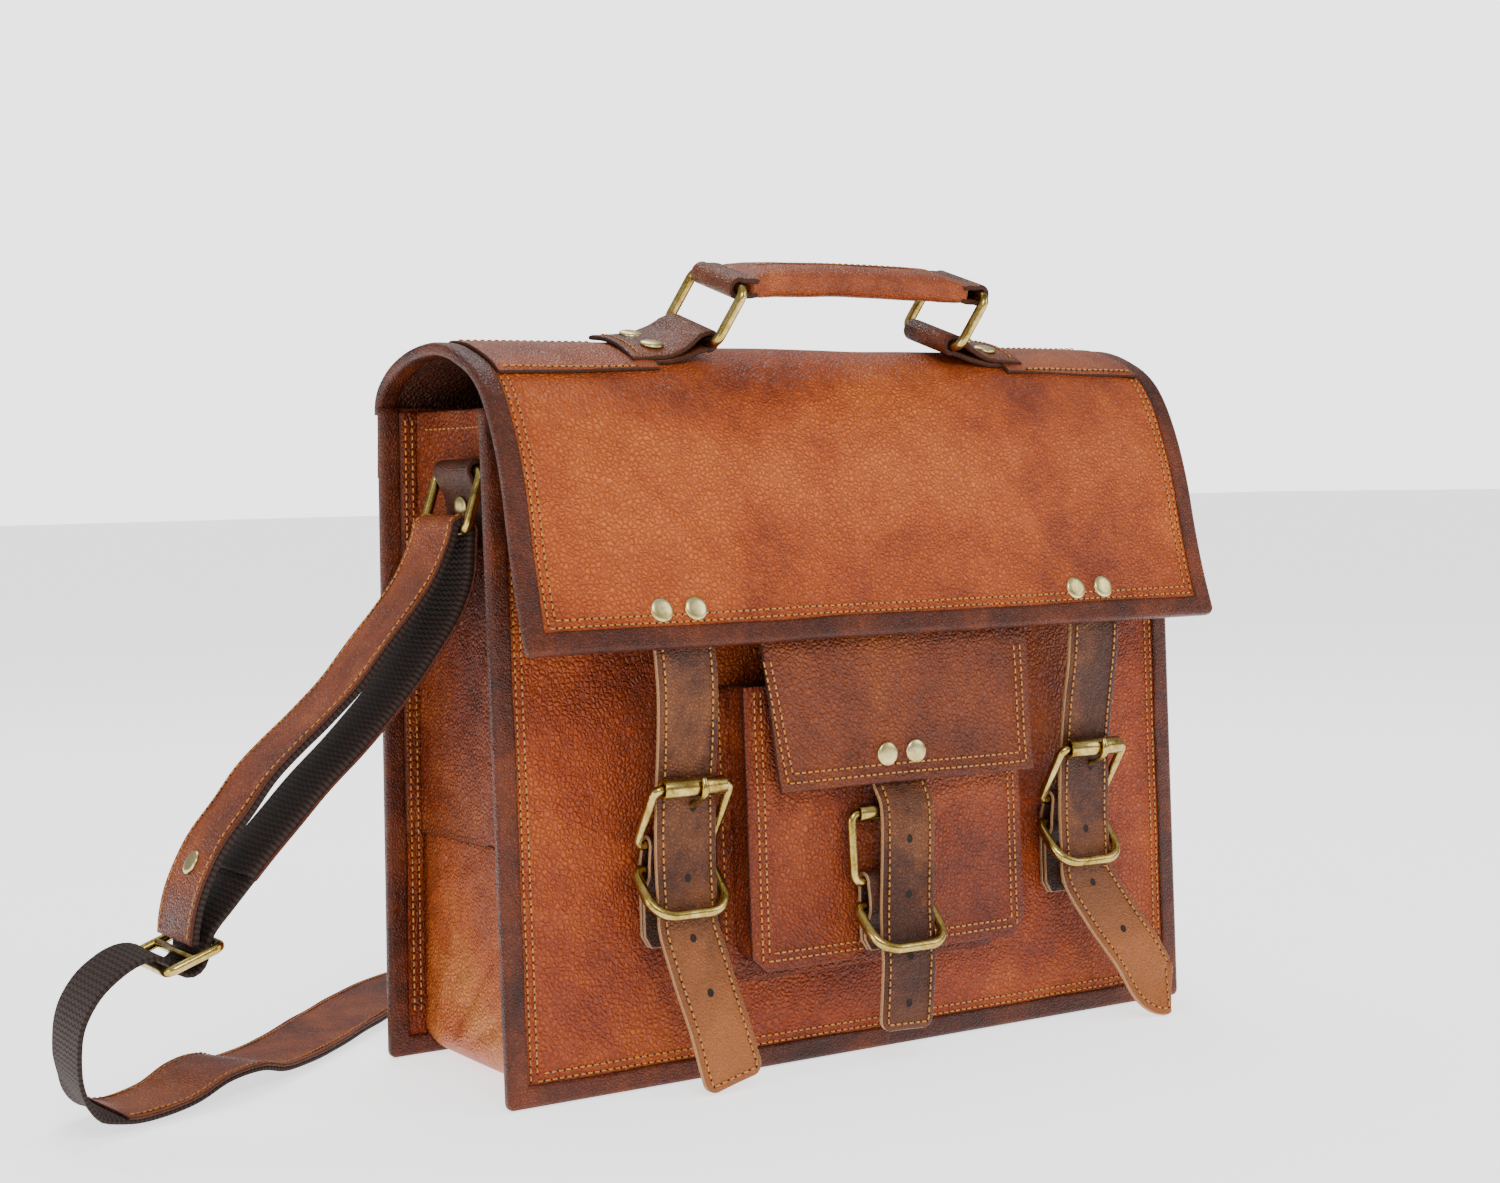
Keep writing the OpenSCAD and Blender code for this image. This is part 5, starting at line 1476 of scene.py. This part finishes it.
low = pocketFlapGrid(pocketFlapLine)
normalP = sheetNormals(low)
normalP = normalP if normalP[40, 25, 1] < 0 else -normalP
lowS = np.array([lengthOf(low[i:, 25]) for i in range(len(low) - 1)] + [0.0])


def onRow(face, at, i):
    # points of one row of the flap's outside, at places across
    return np.stack([np.interp(at, x, face[i, :, c]) for c in range(3)], -1)


for inset in (4.2, 7.4):
    row = int(np.argmin(np.abs(lowS - inset)))
    face = low + normalP * 1.22
    left = np.array([onRow(face, flapX[0] + inset, i)
                     - [6.0 * np.clip((face[i, 25, 2] - 118.5) / 68, 0, 1), 0, 0]
                     for i in range(18, row + 1)])
    right = np.array([onRow(face, flapX[1] - inset, i) for i in range(18, row + 1)])
    across = onRow(face, np.linspace(flapX[0] + inset, flapX[1] - inset, 60), row)
    pocketFlapRows += [stitchRow(left, normalP[18:row + 1, 3]), stitchRow(right, normalP[18:row + 1, -4]),
                       stitchRow(across, normalP[row, 25])]
stitches("pocketFlapSeams", pocketFlapRows, "pocket_flap")

for inset in (10.6, 13.7):
    for side in (-1, 1):
        sv = np.linspace(62, flapLength - inset, 130)
        pts = flapPoint(sv, side * (flap["half"] + 1.2 - inset), 0.0)
        flapRows.append(stitchRow(pts, normal2(sv)))
    xv = np.linspace(-flap["half"] - 1.2 + inset, flap["half"] + 1.2 - inset, 160)
    pts = flapPoint(np.full(160, flapLength + 1.2 - inset), xv, 0.0)
    flapRows.append(stitchRow(pts, normal2(np.full(160, flapLength))))
for side in (-1, 1):
    for sEdge, inset in ((sBack, 3.0), (sFront, -3.0)):
        xv = np.linspace(165, 103, 50)
        pts = flapPoint(np.full(50, sEdge + inset), side * xv, -2.35)
        flapRows.append(stitchRow(pts, normal2(np.full(50, sEdge))))
    yv = np.linspace(-16, 16, 20)
    pts = placed(np.stack([np.full(20, side * 34.5), yv, -3.35 - yv ** 2 / 140], 1),
                 (side * bar["x"], bar["y"], bar["z"]), barTurn)
    flapRows.append(stitchRow(pts, barTurn @ np.array([0, 0, 1.0])))
stitches("flapSeams", flapRows, "flap")

xv = np.linspace(-46, 46, 50)
tt = np.abs(xv) / handleHalf
zt = np.interp(tt, *handleHigh) + 1.6 * (1 - tt ** 2)
pts = placed(np.stack([xv, np.full(50, 2.6), zt - 0.15], 1), handleAt, barTurn)
stitches("handleSeams", [stitchRow(pts, barTurn @ np.array([0, 0, 1.0]))], "handle")
print("seams ready")

# floor, light and camera

floorMaterial = plainMaterial("paperSweep", "#fbfbfb", "#f8f8f8", 0.9, 200.0)
floorMaterial.node_tree.nodes["Principled BSDF"].inputs["Emission Color"].default_value = (1, 1, 1, 1)
floorMaterial.node_tree.nodes["Principled BSDF"].inputs["Emission Strength"].default_value = 1.5
u = np.linspace(-20000, 20000, 5)
fx, fy = np.meshgrid(u, u, indexing="ij")
floor = newMesh("floor", np.stack([fx, fy, np.full_like(fx, -0.4)], -1).reshape(-1, 3), gridQuads(5, 5),
                floorMaterial)

studio = {"fromAbove": 0.7, "fromSide": 0.3, "seen": 3.0}
world = bpy.data.worlds.new("studio")
bpy.context.scene.world = world
world.use_nodes = True
sky = world.node_tree
sky.nodes.clear()
toward = addNode(sky, "SeparateXYZ", None,
                 {"Vector": addNode(sky, "TexCoord").outputs["Generated"]}).outputs["Z"]
above = addNode(sky, "Math", {"operation": "ADD", "use_clamp": True}, {0: toward, 1: 0.0}).outputs[0]
level = addNode(sky, "Math", {"operation": "MULTIPLY_ADD"},
                {0: above, 1: studio["fromAbove"] - studio["fromSide"], 2: studio["fromSide"]}).outputs[0]
lit = addNode(sky, "Background", {"Color": (1, 1, 1, 1)}, {"Strength": level})
seen = addNode(sky, "Background", {"Color": (1, 1, 1, 1), "Strength": studio["seen"]})
either = addNode(sky, "MixShader", None, {0: addNode(sky, "LightPath").outputs["Is Camera Ray"],
                                                    1: lit.outputs[0], 2: seen.outputs[0]})
addNode(sky, "OutputWorld", None, {"Surface": either.outputs[0]})


def softLight(name, place, target, size, power):
    # a round area lamp aimed at a point
    lamp = bpy.data.lights.new(name, "AREA")
    lamp.shape = "DISK"
    lamp.size = size
    lamp.energy = power
    obj = bpy.data.objects.new(name, lamp)
    bpy.context.scene.collection.objects.link(obj)
    place = Vector(place)
    obj.matrix_world = Matrix.Translation(place) @ (Vector(target) - place).to_track_quat("-Z",
                                                                                          "Y").to_matrix().to_4x4()


softLight("keyLeft", (-0.6, -1.6, 1.5), (0, 0, 0.15), 0.8, 19)
softLight("fillRight", (1.4, -1.2, 1.0), (0, 0, 0.15), 1.2, 10)
softLight("fillLeft", (-1.7, -0.5, 0.5), (0, 0, 0.1), 0.7, 6)
softLight("topBack", (0.2, 0.9, 1.8), (0, 0, 0.2), 1.2, 16)

cameraFacts = {"place": (-0.6018, -0.9094, 0.2483), "yaw": 32.7, "pitch": 2.8, "roll": -1.2, "lens": 57.87,
               "shiftX": -0.0048, "shiftY": 0.005}
cam = bpy.data.cameras.new("camera")
cam.sensor_width = 36.0
cam.sensor_fit = "HORIZONTAL"
cam.lens = cameraFacts["lens"]
cam.shift_x, cam.shift_y = cameraFacts["shiftX"], cameraFacts["shiftY"]
cam.clip_start, cam.clip_end = 0.02, 50
camObj = bpy.data.objects.new("camera", cam)
bpy.context.scene.collection.objects.link(camObj)
yaw, pitch, roll = (math.radians(cameraFacts[k]) for k in ("yaw", "pitch", "roll"))
forward = np.array([math.sin(yaw) * math.cos(pitch), math.cos(yaw) * math.cos(pitch), -math.sin(pitch)])
right0 = np.array([math.cos(yaw), -math.sin(yaw), 0.0])
up0 = np.cross(right0, forward)
rightV = math.cos(roll) * right0 + math.sin(roll) * up0
upV = -math.sin(roll) * right0 + math.cos(roll) * up0
m4 = np.eye(4)
m4[:3, 0], m4[:3, 1], m4[:3, 2], m4[:3, 3] = rightV, upV, -forward, cameraFacts["place"]
camObj.matrix_world = Matrix(m4.tolist())
bpy.context.scene.camera = camObj

print("done")
